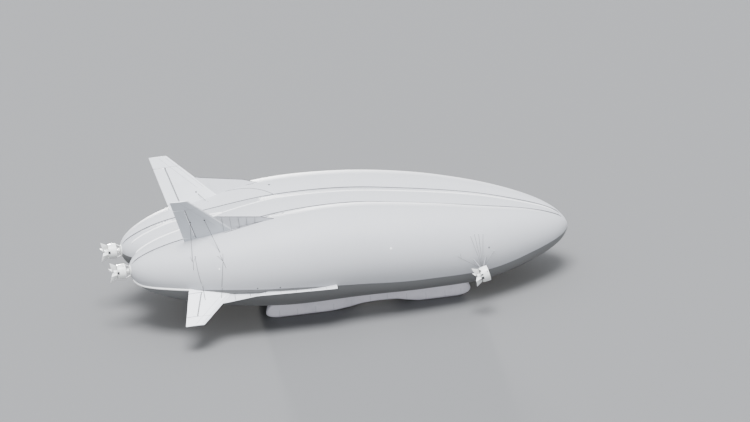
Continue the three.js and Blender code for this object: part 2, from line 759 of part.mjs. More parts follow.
function addPropulsor(name, engine, turn, duct) {
  const { station, offset, height, tilt = 0 } = engine;
  const seated = (body) =>
    turn(body.rotate([0, -tilt, 0]).translate([xAt(station), yAt(offset), zAt(height)]));
  airship.add(mesh(`duct_${name}`, seated(duct), materials.engine));
  airship.add(mesh(`nacelle_${name}`, seated(nacelleCowl()), materials.engine));
  airship.add(mesh(`engine_${name}`, seated(engineBlock()), materials.frame));
  airship.add(mesh(`propeller_${name}`, seated(propeller()), materials.blade));
  airship.add(mesh(`exhaust_vanes_${name}`, seated(vaneSet()), materials.engine));
}

const sternFrame = sternMount().translate([
  xAt(STERN_ENGINE.station), yAt(STERN_ENGINE.offset), zAt(STERN_ENGINE.height)]);
const forwardFrame = forwardMount();
for (const [side, turn] of SIDES) {
  addPropulsor(`stern_${side}`, STERN_ENGINE, turn, ductRing());
  addPropulsor(`forward_${side}`, FORWARD_ENGINE, turn, ductRing().add(trunnion()));
  airship.add(mesh(`mount_stern_${side}`, turn(sternFrame), materials.engine));
  airship.add(mesh(`mount_forward_${side}`, turn(forwardFrame), materials.frame));
}

const payload = keelModule(KEEL.cabinBack + KEEL.joint, KEEL.moduleBack, KEEL.payloadFloor);
const fuel = keelModule(KEEL.moduleBack + KEEL.joint, KEEL.fuelBack, KEEL.fuelFloor);
airship.add(mesh("payload_module", payload, materials.cabin));
airship.add(mesh("fuel_module", fuel, materials.cabin));
airship.add(mesh("cabin_shell", cabinShell(), materials.cabin));
airship.add(mesh("cabin_glazing", cabinGlazing(), materials.glass));
airship.add(mesh("cabin_interior", cabinInterior(), materials.seat));
const leftDoor = cabinDoor();
airship.add(mesh("cabin_door_left", leftDoor, materials.cabin));
airship.add(mesh("cabin_door_right", mirrored(leftDoor), materials.cabin));

export default airship;
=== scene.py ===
import bmesh
import bpy
import math
from mathutils import Vector, Matrix
from mathutils.bvhtree import BVHTree


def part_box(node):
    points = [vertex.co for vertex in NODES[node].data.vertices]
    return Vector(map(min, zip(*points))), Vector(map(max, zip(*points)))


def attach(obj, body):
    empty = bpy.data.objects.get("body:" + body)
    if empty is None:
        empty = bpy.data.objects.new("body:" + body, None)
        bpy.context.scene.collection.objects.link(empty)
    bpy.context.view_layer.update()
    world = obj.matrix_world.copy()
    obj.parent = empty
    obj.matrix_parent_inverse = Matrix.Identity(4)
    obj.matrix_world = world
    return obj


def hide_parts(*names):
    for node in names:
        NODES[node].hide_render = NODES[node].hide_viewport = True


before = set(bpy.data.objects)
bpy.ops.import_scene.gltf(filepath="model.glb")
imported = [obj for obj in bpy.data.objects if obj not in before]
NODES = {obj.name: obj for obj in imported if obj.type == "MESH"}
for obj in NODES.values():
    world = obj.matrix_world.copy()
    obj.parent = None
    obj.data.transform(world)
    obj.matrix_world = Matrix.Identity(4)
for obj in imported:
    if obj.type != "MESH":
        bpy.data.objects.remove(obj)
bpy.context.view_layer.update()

# Sizes, as in the part's source. Stations, spans, offsets and heights are in real metres, and one
# real metre is a tenth of a metre here. Sizes of fittings are in metres here
METRE = 0.1
MM = 0.001
NOSE_X = 4.6
AXIS_HEIGHT = 1.24
FLOOR = -AXIS_HEIGHT / METRE
SIDES = (("left", 1), ("right", -1))

# Hull: share of the length, offset and radius of the outer lobe, height of its middle, offset of
# the crease
HULL_SPAN = 88.2
TAIL_END = 0.965
HULL_SECTIONS = [
    (0.0, 0.25, 0.15, -3.4, 0.2),
    (0.05, 1.1, 1.25, -3.35, 0.7),
    (0.1, 2.25, 2.55, -3.2, 1.25),
    (0.2, 4.65, 5.0, -2.75, 2.15),
    (0.3, 7.1, 7.16, -2.18, 3.45),
    (0.4, 8.3, 8.45, -0.86, 3.8),
    (0.5, 8.42, 9.2, 0.15, 3.9),
    (0.6, 9.0, 9.08, 0.22, 4.5),
    (0.7, 9.05, 7.45, -0.05, 5.3),
    (0.8, 8.1, 5.42, 0.0, 5.5),
    (0.9, 6.75, 2.95, -0.1, 5.3),
    (1.0, 5.3, 0.0, 0.0, 5.25),
]
HULL_STATIONS = 112
INNER_STEPS, OUTER_STEPS = 12, 48
# The seam low on each flank: station, angle round the outer lobe from its crest
FLANK_SEAM = [
    (0.0, 100), (4.0, 104), (9.0, 109), (14.0, 113), (20.4, 116), (31.5, 117.8), (37.4, 117.9),
    (43.4, 115.4), (49.6, 111.8), (56.8, 107.2), (63.3, 105.6), (68.5, 104.2), (72.7, 104.0),
    (76.1, 105.6), (78.4, 108.0), (81.6, 111.4), (83.4, 115.3), (85.2, 122.5), (86.6, 136), (88.2, 160),
]
# The pale cord on the inner side of each tail: station, offset
TAIL_CORD = [(68.0, 0.0), (71.0, 0.7), (74.0, 1.75), (77.0, 2.3), (80.0, 2.4), (83.0, 2.4), (86.3, 2.5)]
# The seam that runs from each upper strake in to the crease: from and to station, first angle
STRAKE_SEAM, STRAKE_SEAM_TURN = (57.4, 67.0), -28
# Small round patches on the flanks: station, angle from the crest, radius, look
FLANK_PATCHES = [
    (38.25, 69.3, 0.016, "tape"), (57.6, -10.1, 0.014, "seam"), (18.4, 76.4, 0.012, "seam"),
    (65.0, 103.4, 0.010, "seam"), (60.6, 104.6, 0.010, "seam"), (72.0, 68.8, 0.014, "tape"),
]

# Landing skids: station, half width, lowest and highest point above the floor
SKID_OFFSET = 7.5
SKID_SECTIONS = [
    (21.3, 0.28, 1.0, 1.5),
    (21.5, 0.62, 0.72, 2.0),
    (22.0, 0.96, 0.42, 2.65),
    (22.9, 1.22, 0.15, 3.35),
    (24.2, 1.38, 0.0, 4.3),
    (31.5, 1.38, 0.0, 5.2),
    (34.0, 1.1, 0.35, 5.4),
    (36.5, 0.9, 0.8, 5.6),
    (42.5, 0.9, 0.8, 5.6),
    (46.0, 1.1, 0.3, 5.4),
    (49.5, 1.3, 0.0, 5.2),
    (59.3, 1.3, 0.0, 4.6),
    (60.5, 1.18, 0.06, 3.6),
    (61.3, 0.96, 0.22, 2.6),
    (61.8, 0.62, 0.42, 1.8),
    (62.0, 0.28, 0.6, 1.15),
]
SKID_FLAT = 0.42
SKID_STEPS, SKID_CORNER_STEPS = 120, 10
SKID_WRAPS = (23.4, 26.6, 30.4, 34.2, 38.0, 41.4, 45.2, 48.8, 52.4, 56.0, 59.6)
WRAP_STEPS, WRAP_HEIGHT = 8, 0.9

# Fins: tip and root give span, leading and trailing station; hinge gives two stations and two spans
FINS = {
    "upper": {
        "foot": (8.7, 7.0), "lean": (0.324, 0.946),
        "tip": (9.5, 76.95, 80.45), "root": (-2.4, 64.35, 77.1),
        "hinge": (75.28, 77.58, -0.2, 7.25), "tape_from": 2.6,
    },
    "lower": {
        "foot": (14.2, -1.7), "lean": (0.822, -0.569),
        "tip": (8.3, 76.45, 80.1), "root": (-3.6, 64.3, 77.1),
        "hinge": (75.75, 77.5, 0.9, 6.3), "tape_from": 2.2,
    },
}
FIN_THICKNESS, FIN_TIP_THICKNESS = 0.62, 0.26
# Share of the chord, share of the thickness
FIN_PROFILE = [(0, 0), (0.06, 0.55), (0.2, 0.92), (0.4, 1), (0.7, 0.68), (1, 0.08)]
# How far the hinge seal lies behind the hinge line, and two tapes behind the leading edge
SEAL_BEHIND, FIN_TAPES = 0.022, (0.62, 1.9)
# Strakes: station, span and rise of the corners of the free edge
STRAKE_EDGES = {
    "upper": [(71.75, 4.6, 0.0), (62.4, 3.1, 0.0), (59.6, 2.17, 0.0)],
    "lower": [(72.0, 3.97, 0.0), (65.3, 3.86, -1.0), (49.5, 4.2, -0.7)],
}
STRAKE_HEMS = {"upper": "seam", "lower": "hem"}
STRAKE_BATTENS = {
    "upper": (70.2, 68.6, 66.9, 65.3, 63.6),
    "lower": (69.5, 66.5, 63.5, 60.5, 57.5, 54.5, 51.5),
}

# Stays: station and span on the fin; station, offset and height of the point in the hull that the
# solid stay aims at, and of its foot on the hull; side of the fin
STAY_FEET = [
    ("upper", 76.4, 3.97, (77.0, 14.3, 1.85), (76.87, 14.14, 2.4), 1),
    ("upper", 73.6, 4.16, (70.3, 15.95, 2.3), (70.77, 15.76, 2.8), 1),
    ("upper", 71.9, 1.8, (69.5, 6.95, 6.6), (69.9, 7.2, 7.2), -1),
    ("lower", 75.3, 3.2, (75.6, 12.6, 3.0), (76.24, 12.79, 4.63), 1),
    ("lower", 72.2, 3.0, (70.8, 14.6, 3.0), (71.18, 15.21, 3.69), 1),
]
# The fork of an outer upper stay: from its foot back to the fork, its length and half its width
FORK_DOWN, FORK_LENGTH, FORK_HALF = 0.13, 0.15, 0.06
# A line counts as down on the hull this near to it
TOUCH = 0.006

# Propulsors: station, offset, height and tilt in degrees
ENGINES = {"stern": (89.8, 5.25, 0.0, 0.0), "forward": (20.5, 19.7, -3.5, 13.5)}
DUCT = {"front": 0.080, "back": -0.080, "inner": 0.134, "outer": 0.150, "lip": 0.008}
DUCT_SIDES = 80
DUCT_BOLTS = 24
NACELLE = {"front": 0.004, "back": -0.150, "radius": 0.047, "wall": 0.005}
# Distance along a cooling rib, its height there
NACELLE_RIB = [(-0.126, 0.001), (-0.120, 0.004), (-0.100, 0.0052), (-0.092, 0.002)]
STATOR = {"count": 4, "x": -0.048, "chord": 0.044, "thickness": 0.008}
PROPELLER = {"hub": 0.030, "front": 0.034, "spinner": 0.074, "tip": 0.128, "blades": 3,
             "chord": 0.034, "middle": 0.020}
# Share of the way out, twist in degrees, thickness, share of the chord
BLADE_SECTIONS = [(0, 62, 0.013, 0.62), (0.24, 52, 0.009, 1), (0.59, 36, 0.006, 1), (1, 24, 0.003, 0.7)]
BLADE_ROUNDING = 0.86
VANE = {"count": 4, "thickness": 0.006, "hub": 0.040, "length": 0.016}
# Outline of a vane and ends of the rib on it: distance from the duct's middle and from its axis
VANE_OUTLINE = [(-0.152, 0.012), (-0.152, 0.052), (-0.092, 0.052), (-0.092, 0.138), (-0.220, 0.205),
                (-0.196, 0.104), (-0.166, 0.012)]
VANE_RIB = ((-0.098, 0.058), (-0.206, 0.178))
RUNNING_GAP = 0.0004
TRUNNION = {"radius": 0.016, "length": 0.022}
# Dark slots round a duct: from and to in degrees above the outer side, and along its axis
FORWARD_SLOTS = [(-11, 9, -0.080, -0.042), (19, 30, -0.082, -0.040), (50, 68, -0.080, -0.058),
                 (31, 44, 0.046, 0.060), (138, 162, -0.050, -0.036), (198, 222, -0.050, -0.036)]
STERN_SLOTS = [(4, 24, -0.090, -0.050), (156, 176, -0.090, -0.050), (60, 72, 0.030, 0.042)]
# Stays of the forward propulsors: station, offset and height of each end on the hull
FORWARD_FAN = [(21.9, 14.1, 2.3), (21.1, 13.7, 2.4), (20.2, 13.5, 2.3), (19.3, 13.3, 2.1),
               (17.4, 14.0, -1.5)]
# The aft stay ends in a small bridle with two legs
FORWARD_AFT_STAY = (24.3, 15.8, -1.4)
FORWARD_BRIDLE = [(25.0, 15.9, -0.8), (24.4, 15.7, -0.4)]

# Cabin and keel modules. Windows: from and to behind the cabin's front, in millimetres
KEEL_HALF, KEEL_FLOOR, CABIN_FRONT = 0.165, -11.75, 19.2
WINDOWS = ((310, 150), (470, 340))
WINDOW_LOW, WINDOW_HIGH = 78, 168
DOOR_EDGES, DOOR_LOW, DOOR_HIGH = (560, 665), 42, 200
MODULES = (("payload_module", 0.30), ("fuel_module", 0.2679))

# Radii of cords and rods
RADIUS = {
    "crease": 0.012, "low_crease": 0.006, "tail_tape": 0.020, "tail_cord": 0.018, "ridge": 0.012,
    "sleeve": 0.0046, "bridle": 0.0042, "fork": 0.0034, "forward_stay": 0.0024, "forward_bridle": 0.0022,
    "hinge_seal": 0.0022, "hem": 0.0062, "foot": 0.0055, "batten": 0.0026, "window": 0.0032,
}
# Tapes: width and rise, and how far they sink in
TAPE = {
    "strake_seam": (0.012, 0.0025), "flank": (0.009, 0.002), "hinge": (0.012, 0.0012),
    "fin_tip": (0.006, 0.0012), "fin_edge": (0.005, 0.0010), "vane_rib": (0.005, 0.0012, 0.0008),
    "door": (0.003, 0.0004), "module": (0.006, 0.0015), "wrap": (0.016, 0.0016, 0.001),
    "skirt": (0.05, 0.004),
}
# Round fittings: radius, rise and number of sides
BUTTON = {
    "lug": (0.016, 0.005, 16), "lug_pin": (0.007, 0.012, 12), "foot": (0.020, 0.003, 18),
    "foot_pin": (0.009, 0.008, 12), "fork_foot": (0.011, 0.003, 14), "fan_pin": (0.008, 0.007, 10),
    "fan_foot": (0.016, 0.003, 16), "hinge_cap": (0.008, 0.003, 12), "bolt": (0.0024, 0.0016, 8),
    "latch": (0.005, 0.0025, 12),
}

# Looks: name, colour, roughness, colour and amount of the dirt, grain, scale of the dirt, metal
COATS = {
    "strake": ("strake_fabric", (0.66, 0.67, 0.70), 0.55, (0.54, 0.55, 0.58), 0.3, 0.4, 5.0),
    "skid": ("skid_fabric", (0.86, 0.84, 0.91), 0.6, (0.60, 0.59, 0.65), 0.35, 0.7, 4.0),
    "white": ("white_paint", (0.88, 0.89, 0.87), 0.32, (0.55, 0.54, 0.50), 0.3, 0.1, 14.0),
    "dark": ("dark_composite", (0.03, 0.03, 0.033), 0.45, (0.08, 0.08, 0.08), 0.5, 0.3, 30.0),
    "iron": ("engine_metal", (0.12, 0.12, 0.125), 0.45, (0.2, 0.17, 0.14), 0.5, 0.6, 30.0, 0.8),
    "blade": ("blade_composite", (0.018, 0.018, 0.02), 0.3, (0.06, 0.06, 0.06), 0.3, 0.1, 40.0),
    "panel": ("cabin_panel", (0.70, 0.71, 0.73), 0.38, (0.5, 0.5, 0.5), 0.25, 0.1, 8.0),
    "trim": ("seat_trim", (0.04, 0.042, 0.046), 0.75, (0.08, 0.08, 0.08), 0.4, 0.8, 40.0),
    "cable": ("stay_cable", (0.08, 0.08, 0.085), 0.5, (0.2, 0.2, 0.2), 0.3, 0.3, 60.0),
    "mount": ("mount_paint", (0.30, 0.31, 0.33), 0.4, (0.35, 0.35, 0.36), 0.3, 0.1, 20.0),
    "seam": ("seam_tape", (0.07, 0.072, 0.08), 0.6, (0.16, 0.16, 0.17), 0.4, 0.5, 20.0),
    "seam_pale": ("pale_seam", (0.42, 0.43, 0.46), 0.55, (0.3, 0.3, 0.32), 0.3, 0.3, 20.0),
    "tape": ("white_tape", (0.96, 0.96, 0.955), 0.65, (0.8, 0.8, 0.8), 0.2, 0.3, 20.0),
    "hem": ("strake_hem", (0.88, 0.89, 0.92), 0.5, (0.6, 0.61, 0.64), 0.3, 0.4, 12.0),
    "rubber": ("black_rubber", (0.02, 0.02, 0.022), 0.7, (0.05, 0.05, 0.05), 0.4, 0.5, 40.0),
    "vane": ("vane_paint", (0.88, 0.89, 0.87), 0.38, (0.5, 0.48, 0.45), 0.35, 0.1, 16.0),
    "spinner": ("spinner_paint", (0.22, 0.22, 0.23), 0.3, (0.35, 0.35, 0.35), 0.3, 0.1, 30.0),
    "wrap": ("skid_wrap", (0.74, 0.73, 0.79), 0.6, (0.56, 0.55, 0.60), 0.35, 0.6, 10.0),
}
# Painted shade on the hull's underside: how dark it is just below the flank seam, and how much darker it
# grows further down
UNDERSIDE_PAINTED_SHADE, UNDERSIDE_PAINTED_SHADE_FALL = 0.86, 0.5
# The look of each node that the scene keeps, by the start of its name
NODE_LOOKS = {
    "fin_": "fin", "control_": "fin", "strake_": "strake", "engine_": "iron", "mount_stern": "white",
    "mount_forward": "mount", "payload": "panel", "fuel": "panel", "cabin_shell": "panel",
    "cabin_door": "panel", "cabin_glazing": "glass", "cabin_interior": "trim",
}

# Camera. The width is what the picture spans at the object, in metres; the middle of the picture is
# across and up from the tail
AZIMUTH, ELEVATION, ROLL = -9.9, 23.0, 3.0
WIDTH, FAR = 14.65, 200.0
TAIL_STATION, ACROSS, UP = 90.2, 5.088, 0.990
SENSOR = 36
FLOOR_HALF = 150


# Places
def place(station, offset, height):
    return Vector((NOSE_X - station * METRE, offset * METRE, AXIS_HEIGHT + height * METRE))


def station_at(share):
    return HULL_SPAN * (1 - math.cos(math.pi * share)) / 2


def spread(start, end, count):
    return [start + (end - start) * i / (count - 1) for i in range(count)]


def between(start, end, count):
    """Points evenly spaced from one point to another."""
    return [start.lerp(end, t) for t in spread(0.0, 1.0, count)]


def axis_point(x, radius, angle):
    """A point round the X axis. The angle is from the outer side upwards, in radians."""
    return Vector((x, radius * math.cos(angle), radius * math.sin(angle)))


def direction(points, i):
    """The way that a line of points runs at one of them."""
    return (points[min(i + 1, len(points) - 1)] - points[max(i - 1, 0)]).normalized()


def circle(middle, side, up, radius, count):
    turns = (2 * math.pi * k / count for k in range(count))
    return [middle + (side * math.cos(a) + up * math.sin(a)) * radius for a in turns]


def smooth_values(rows, at):
    """The row of a table at a value of its first column, on a smooth curve through the rows."""
    i = 0
    while i < len(rows) - 2 and at > rows[i + 1][0]:
        i += 1
    width = rows[i + 1][0] - rows[i][0]
    t = (at - rows[i][0]) / width

    def slope(j, k):
        low, high = max(j - 1, 0), min(j + 1, len(rows) - 1)
        return (rows[high][k] - rows[low][k]) / (rows[high][0] - rows[low][0])

    out = []
    for k in range(len(rows[0])):
        a, b = rows[i][k], rows[i + 1][k]
        ma, mb = slope(i, k) * width, slope(i + 1, k) * width
        out.append(a * (1 + 2 * t) * (1 - t) ** 2 + ma * t * (1 - t) ** 2
                   + b * t * t * (3 - 2 * t) + mb * t * t * (t - 1))
    return out


# Meshes
def new_object(name, vertices, faces):
    mesh = bpy.data.meshes.new(name)
    mesh.from_pydata([tuple(v) for v in vertices], [], faces)
    mesh.update()
    mesh.shade_smooth()
    obj = bpy.data.objects.new(name, mesh)
    bpy.context.scene.collection.objects.link(obj)
    return obj


def finish_piece(obj, look, body="hull", angle=35):
    obj.data.materials.clear()
    obj.data.materials.append(MAT[look])
    obj.data.set_sharp_from_angle(angle=math.radians(angle))
    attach(obj, body)
    return obj


def numbers(obj, name, values):
    attribute = obj.data.attributes.new(name, "FLOAT", "POINT")
    attribute.data.foreach_set("value", values)


class Shape:
    """Vertices and faces of one joined piece, made on the left side."""

    def __init__(self):
        self.vertices = []
        self.faces = []

    def loft(self, rings):
        """A skin over closed rings of equal length, with its ends closed."""
        base, count = len(self.vertices), len(rings[0])
        last = base + (len(rings) - 1) * count
        self.vertices += [Vector(p) for ring in rings for p in ring]
        for start in range(base, last, count):
            for k in range(count):
                a, b = start + k, start + (k + 1) % count
                self.faces.append((a, b, b + count, a + count))
        self.faces.append(tuple(range(base, base + count))[::-1])
        self.faces.append(tuple(range(last, last + count)))
        return self

    def tube(self, points, radius, sides=10, ends=1.0):
        """A round rod along points, its ends thinned by a share."""
        points = [Vector(p) for p in points]
        rings = []
        for i, point in enumerate(points):
            along = direction(points, i)
            steady = Vector((0.13, 0.21, 1)) if abs(along.z) < 0.9 else Vector((1, 0.2, 0.1))
            side = along.cross(steady).normalized()
            wide = radius * (ends if i in (0, len(points) - 1) else 1)
            rings.append(circle(point, side, side.cross(along), wide, sides))
        return self.loft(rings)

    def band(self, points, normals, width, rise, sink=0.002):
        """A flat tape on a surface, with its edges rounded down into it."""
        points = [Vector(p) for p in points]
        edge = rise * 0.5
        profile = ((-1, -sink), (-1, edge), (-0.7, rise), (0.7, rise), (1, edge), (1, -sink))
        rings = []
        for i, (point, normal) in enumerate(zip(points, normals)):
            side = direction(points, i).cross(normal).normalized() * width / 2
            rings.append([point + side * across + normal * up for across, up in profile])
        return self.loft(rings)

    def dome(self, centre, normal, radius, rise, sides=16, sink=0.002):
        """A round patch or button on a surface."""
        centre, normal = Vector(centre), Vector(normal).normalized()
        side = normal.orthogonal().normalized()
        other = normal.cross(side)
        profile = ((1, -sink), (1, rise * 0.4), (0.86, rise * 0.85), (0.5, rise), (0.12, rise * 1.04))
        return self.loft([circle(centre + normal * up, side, other, radius * share, sides)
                          for share, up in profile])

    def turned(self, profile, sides=48):
        """A ring or body turned about X. The profile is closed: distance along X and radius."""
        base, count = len(self.vertices), len(profile)
        for k in range(sides):
            self.vertices += [axis_point(x, radius, 2 * math.pi * k / sides) for x, radius in profile]
        for k in range(sides):
            this, other = base + k * count, base + (k + 1) % sides * count
            for i in range(count):
                after = (i + 1) % count
                self.faces.append((this + i, this + after, other + after, other + i))
        return self

    def raised_ring(self, x, half, slope, low, high, sides):
        """A low ring round the X axis with sloping sides."""
        return self.turned([(x - half, low), (x - half + slope, high), (x + half - slope, high),
                            (x + half, low)], sides)

    def slab(self, low, high, edge=0.001):
        """A box with its edges broken."""
        (x0, y0, z0), (x1, y1, z1) = low, high
        rings = []
        for x, cut in ((x0, edge), (x0 + edge, 0), (x1 - edge, 0), (x1, edge)):
            a, b, c, d = y0 + cut, y1 - cut, z0 + cut, z1 - cut
            rings.append([(x, a, c + edge), (x, a + edge, c), (x, b - edge, c), (x, b, c + edge),
                          (x, b, d - edge), (x, b - edge, d), (x, a + edge, d), (x, a, d - edge)])
        return self.loft(rings)

    def add(self, other, matrix):
        base = len(self.vertices)
        self.vertices += [matrix @ v for v in other.vertices]
        self.faces += [tuple(base + k for k in face) for face in other.faces]
        return self

    def add_round(self, other, count, first=0.0):
        """Another shape, repeated evenly about X. The first turn is in degrees."""
        for k in range(count):
            self.add(other, Matrix.Rotation(math.radians(first + 360 * k / count), 4, "X"))

    def piece(self, name, look, slot, body="hull", angle=35, sign=1):
        """One Blender object, mirrored to the right side where the sign is -1."""
        obj = new_object(name, [(x, y * sign, z) for x, y, z in self.vertices], self.faces)
        mesh = bmesh.new()
        mesh.from_mesh(obj.data)
        bmesh.ops.remove_doubles(mesh, verts=mesh.verts, dist=1e-6)
        bmesh.ops.recalc_face_normals(mesh, faces=mesh.faces)
        mesh.to_mesh(obj.data)
        mesh.free()
        return finish_piece(obj, look, body, angle)

    def both(self, name, look, slot, body="hull", angle=35):
        """The piece on each side; {} in the body's name stands for the side."""
        return [self.piece(f"{name}_{side}", look, slot, body.format(side), angle, sign)
                for side, sign in SIDES]


# Materials
FACTOR_IN, UNDER_IN, OVER_IN, COLOUR_OUT = 0, 6, 7, 2  # sockets of a colour mix


class Maker:
    """Short ways to add nodes to one material."""

    def __init__(self, name, colour, rough, metal=0.0):
        self.material = bpy.data.materials.new(name)
        self.material.use_nodes = True
        self.tree = self.material.node_tree
        self.bsdf = self.tree.nodes["Principled BSDF"]
        self.base = (*colour, 1)
        self.surface(Base_Color=self.base, Roughness=rough, Metallic=metal)
        self.colour = None
        self.height = None
        self.coords = self.tree.nodes.new("ShaderNodeTexCoord")

    def surface(self, **values):
        """Values set on the shader's own sockets."""
        for key, value in values.items():
            self.bsdf.inputs[key.replace("_", " ")].default_value = value

    def node(self, kind, **values):
        n = self.tree.nodes.new(kind)
        for key, value in values.items():
            if hasattr(n, key):
                setattr(n, key, value)
            else:
                n.inputs[key.replace("_", " ")].default_value = value
        return n

    def link(self, a, b):
        self.tree.links.new(a, b)

    def feed(self, value, socket):
        """Sets a number on a socket, or links an output to it."""
        if isinstance(value, (int, float)):
            socket.default_value = value
        else:
            self.link(value, socket)

    def noise(self, scale, detail=4, rough=0.55, stretch=None):
        n = self.node("ShaderNodeTexNoise", Scale=scale, Detail=detail, Roughness=rough)
        source = self.coords.outputs["Object"]
        if stretch:
            m = self.node("ShaderNodeMapping", Scale=stretch)
            self.link(source, m.inputs["Vector"])
            source = m.outputs["Vector"]
        self.link(source, n.inputs["Vector"])
        return n.outputs["Fac"]

    def ramp(self, value, low, high, out_low=0.0, out_high=1.0):
        n = self.node("ShaderNodeMapRange", interpolation_type="SMOOTHSTEP", From_Min=low, From_Max=high,
                      To_Min=out_low, To_Max=out_high)
        self.link(value, n.inputs["Value"])
        return n.outputs["Result"]

    def math(self, kind, *values):
        n = self.node("ShaderNodeMath", operation=kind)
        for value, socket in zip(values, n.inputs):
            self.feed(value, socket)
        return n.outputs[0]

    def attribute(self, name):
        return self.node("ShaderNodeAttribute", attribute_name=name).outputs["Fac"]

    def mix(self, factor, colour):
        """Lays a colour over what is there, by a factor."""
        n = self.node("ShaderNodeMix", data_type="RGBA")
        self.feed(factor, n.inputs[FACTOR_IN])
        if self.colour is None:
            n.inputs[UNDER_IN].default_value = self.base
        else:
            self.link(self.colour, n.inputs[UNDER_IN])
        n.inputs[OVER_IN].default_value = (*colour, 1)
        self.colour = n.outputs[COLOUR_OUT]

    def lines(self, value, step, width):
        """1 on lines a step apart, soft at their edges. Step and width are in the value's unit."""
        wrapped = self.math("MODULO", self.math("ADD", value, 1000 * step), step)
        off = self.math("ABSOLUTE", self.math("SUBTRACT", wrapped, step / 2))
        return self.ramp(off, step / 2 - width, step / 2 - width * 0.3)

    def raise_by(self, value, amount):
        scaled = self.math("MULTIPLY", value, amount)
        self.height = scaled if self.height is None else self.math("ADD", self.height, scaled)

    def done(self, strength=0.3, distance=0.001):
        if self.colour is not None:
            self.link(self.colour, self.bsdf.inputs["Base Color"])
        if self.height is not None:
            bump = self.node("ShaderNodeBump", Strength=strength, Distance=distance)
            self.link(self.height, bump.inputs["Height"])
            self.link(bump.outputs["Normal"], self.bsdf.inputs["Normal"])
        return self.material


def hull_fabric():
    m = Maker("hull_fabric", (0.54, 0.55, 0.575), 0.55)
    m.bsdf.inputs["Sheen Weight"].default_value = 0.12
    m.bsdf.inputs["Sheen Roughness"].default_value = 0.5
    m.bsdf.inputs["Specular IOR Level"].default_value = 0.35
    # slow stains, and streaks that run down the sides
    m.mix(m.ramp(m.noise(1.6, 5), 0.45, 0.75, 0, 0.16), (0.46, 0.47, 0.50))
    m.mix(m.ramp(m.noise(6.0, 5, 0.6, (3.0, 0.5, 0.25)), 0.52, 0.8, 0, 0.14), (0.44, 0.44, 0.46))
    # welded panels: gores across and seams along
    m.mix(m.math("MULTIPLY", m.lines(m.attribute("station"), 3.4, 0.04), 0.05), (0.33, 0.34, 0.36))
    m.mix(m.math("MULTIPLY", m.lines(m.attribute("around"), 0.36, 0.003), 0.04), (0.33, 0.34, 0.36))
    # painted shade on the underside: darker just below the seam low on the flank, and darker still further
    # down
    m.mix(m.ramp(m.attribute("below"), -0.002, 0.006, 0.0, UNDERSIDE_PAINTED_SHADE), (0.12, 0.122, 0.12))
    m.mix(m.ramp(m.attribute("below"), 0.0, 0.42, 0.0, UNDERSIDE_PAINTED_SHADE_FALL), (0.07, 0.07, 0.07))
    # painted shade along each crease: a dark band either side of it
    m.mix(m.ramp(m.attribute("crease"), 0.003, 0.014, 0.55, 0.0), (0.25, 0.26, 0.28))
    m.raise_by(m.noise(260, 2), 0.35)
    m.raise_by(m.noise(7, 4), 2.2)
    return m.done(0.25, 0.0015)


def coated(name, colour, rough, dirt, amount, grain, scale, metal=0.0):
    m = Maker(name, colour, rough, metal)
    m.mix(m.ramp(m.noise(scale, 5), 0.45, 0.75, 0, amount), dirt)
    m.mix(m.ramp(m.noise(scale * 6, 4, 0.65), 0.55, 0.8, 0, amount * 0.7), dirt)
    m.raise_by(m.noise(420, 2), grain)
    return m.done(0.2, 0.0006)


def fin_coat():
    """A pale coat, with painted shade on the faces that look down."""
    m = Maker("fin_skin", (0.88, 0.90, 0.93), 0.42)
    facing = m.node("ShaderNodeSeparateXYZ")
    m.link(m.coords.outputs["Normal"], facing.inputs[0])
    # painted shade: faces that look down are darker
    m.mix(m.ramp(facing.outputs["Z"], -0.3, 0.0, 0.72, 0.0), (0.42, 0.45, 0.49))
    m.mix(m.ramp(m.noise(3, 5), 0.45, 0.75, 0, 0.2), (0.66, 0.68, 0.71))
    m.raise_by(m.noise(420, 2), 0.1)
    return m.done(0.2, 0.0006)


def tinted_glass():
    m = Maker("tinted_glass", (0.04, 0.05, 0.06), 0.06)
    m.surface(Alpha=0.55, Coat_Weight=0.6)
    return m.done()


MAT = {"hull": hull_fabric(), "fin": fin_coat(), "glass": tinted_glass()}
for look, coat in COATS.items():
    MAT[look] = coated(*coat)
for name, node in NODES.items():
    for start, look in NODE_LOOKS.items():
        if name.startswith(start):
            node.data.materials.clear()
            node.data.materials.append(MAT[look])


# Hull
def half_section(share):
    """Points from the top of the cleft round the left outer lobe to its bottom."""
    _, lobe, radius, centre, crease = smooth_values(HULL_SECTIONS, share)
    lobe, radius, crease = lobe * METRE, radius * METRE, crease * METRE
    rise = math.sqrt(max(radius * radius - (lobe - crease) ** 2, 0))
    inner = max(2 * crease - lobe, 0)
    inner_radius = math.hypot(crease - inner, rise)
    meet = (lobe * lobe - inner * inner + inner_radius ** 2 - radius ** 2) / (2 * (lobe - inner))
    start = max(0, inner - inner_radius)
    x, z = NOSE_X - station_at(share) * METRE, AXIS_HEIGHT + centre * METRE

    def turn_at(y, middle, reach):
        return math.acos(min(1, max(-1, (y - middle) / reach)))

    def arc(middle, reach, first, last, steps):
        turns = [first + (last - first) * k / steps for k in range(steps + 1)]
        return [(x, middle + reach * math.cos(a), z + reach * math.sin(a)) for a in turns]

    inner_from = turn_at(start, inner, inner_radius)
    inner_to = turn_at(meet, inner, inner_radius)
    outer_from = turn_at(meet, lobe, radius)
    points = arc(inner, inner_radius, inner_from, inner_to, INNER_STEPS)
    points += arc(lobe, radius, outer_from, -outer_from, OUTER_STEPS)[1:]
    points += arc(inner, inner_radius, -inner_to, -inner_from, INNER_STEPS)[1:]
    if start == 0:
        points[0] = (x, 0.0, points[0][2])
        points[-1] = (x, 0.0, points[-1][2])
    return points


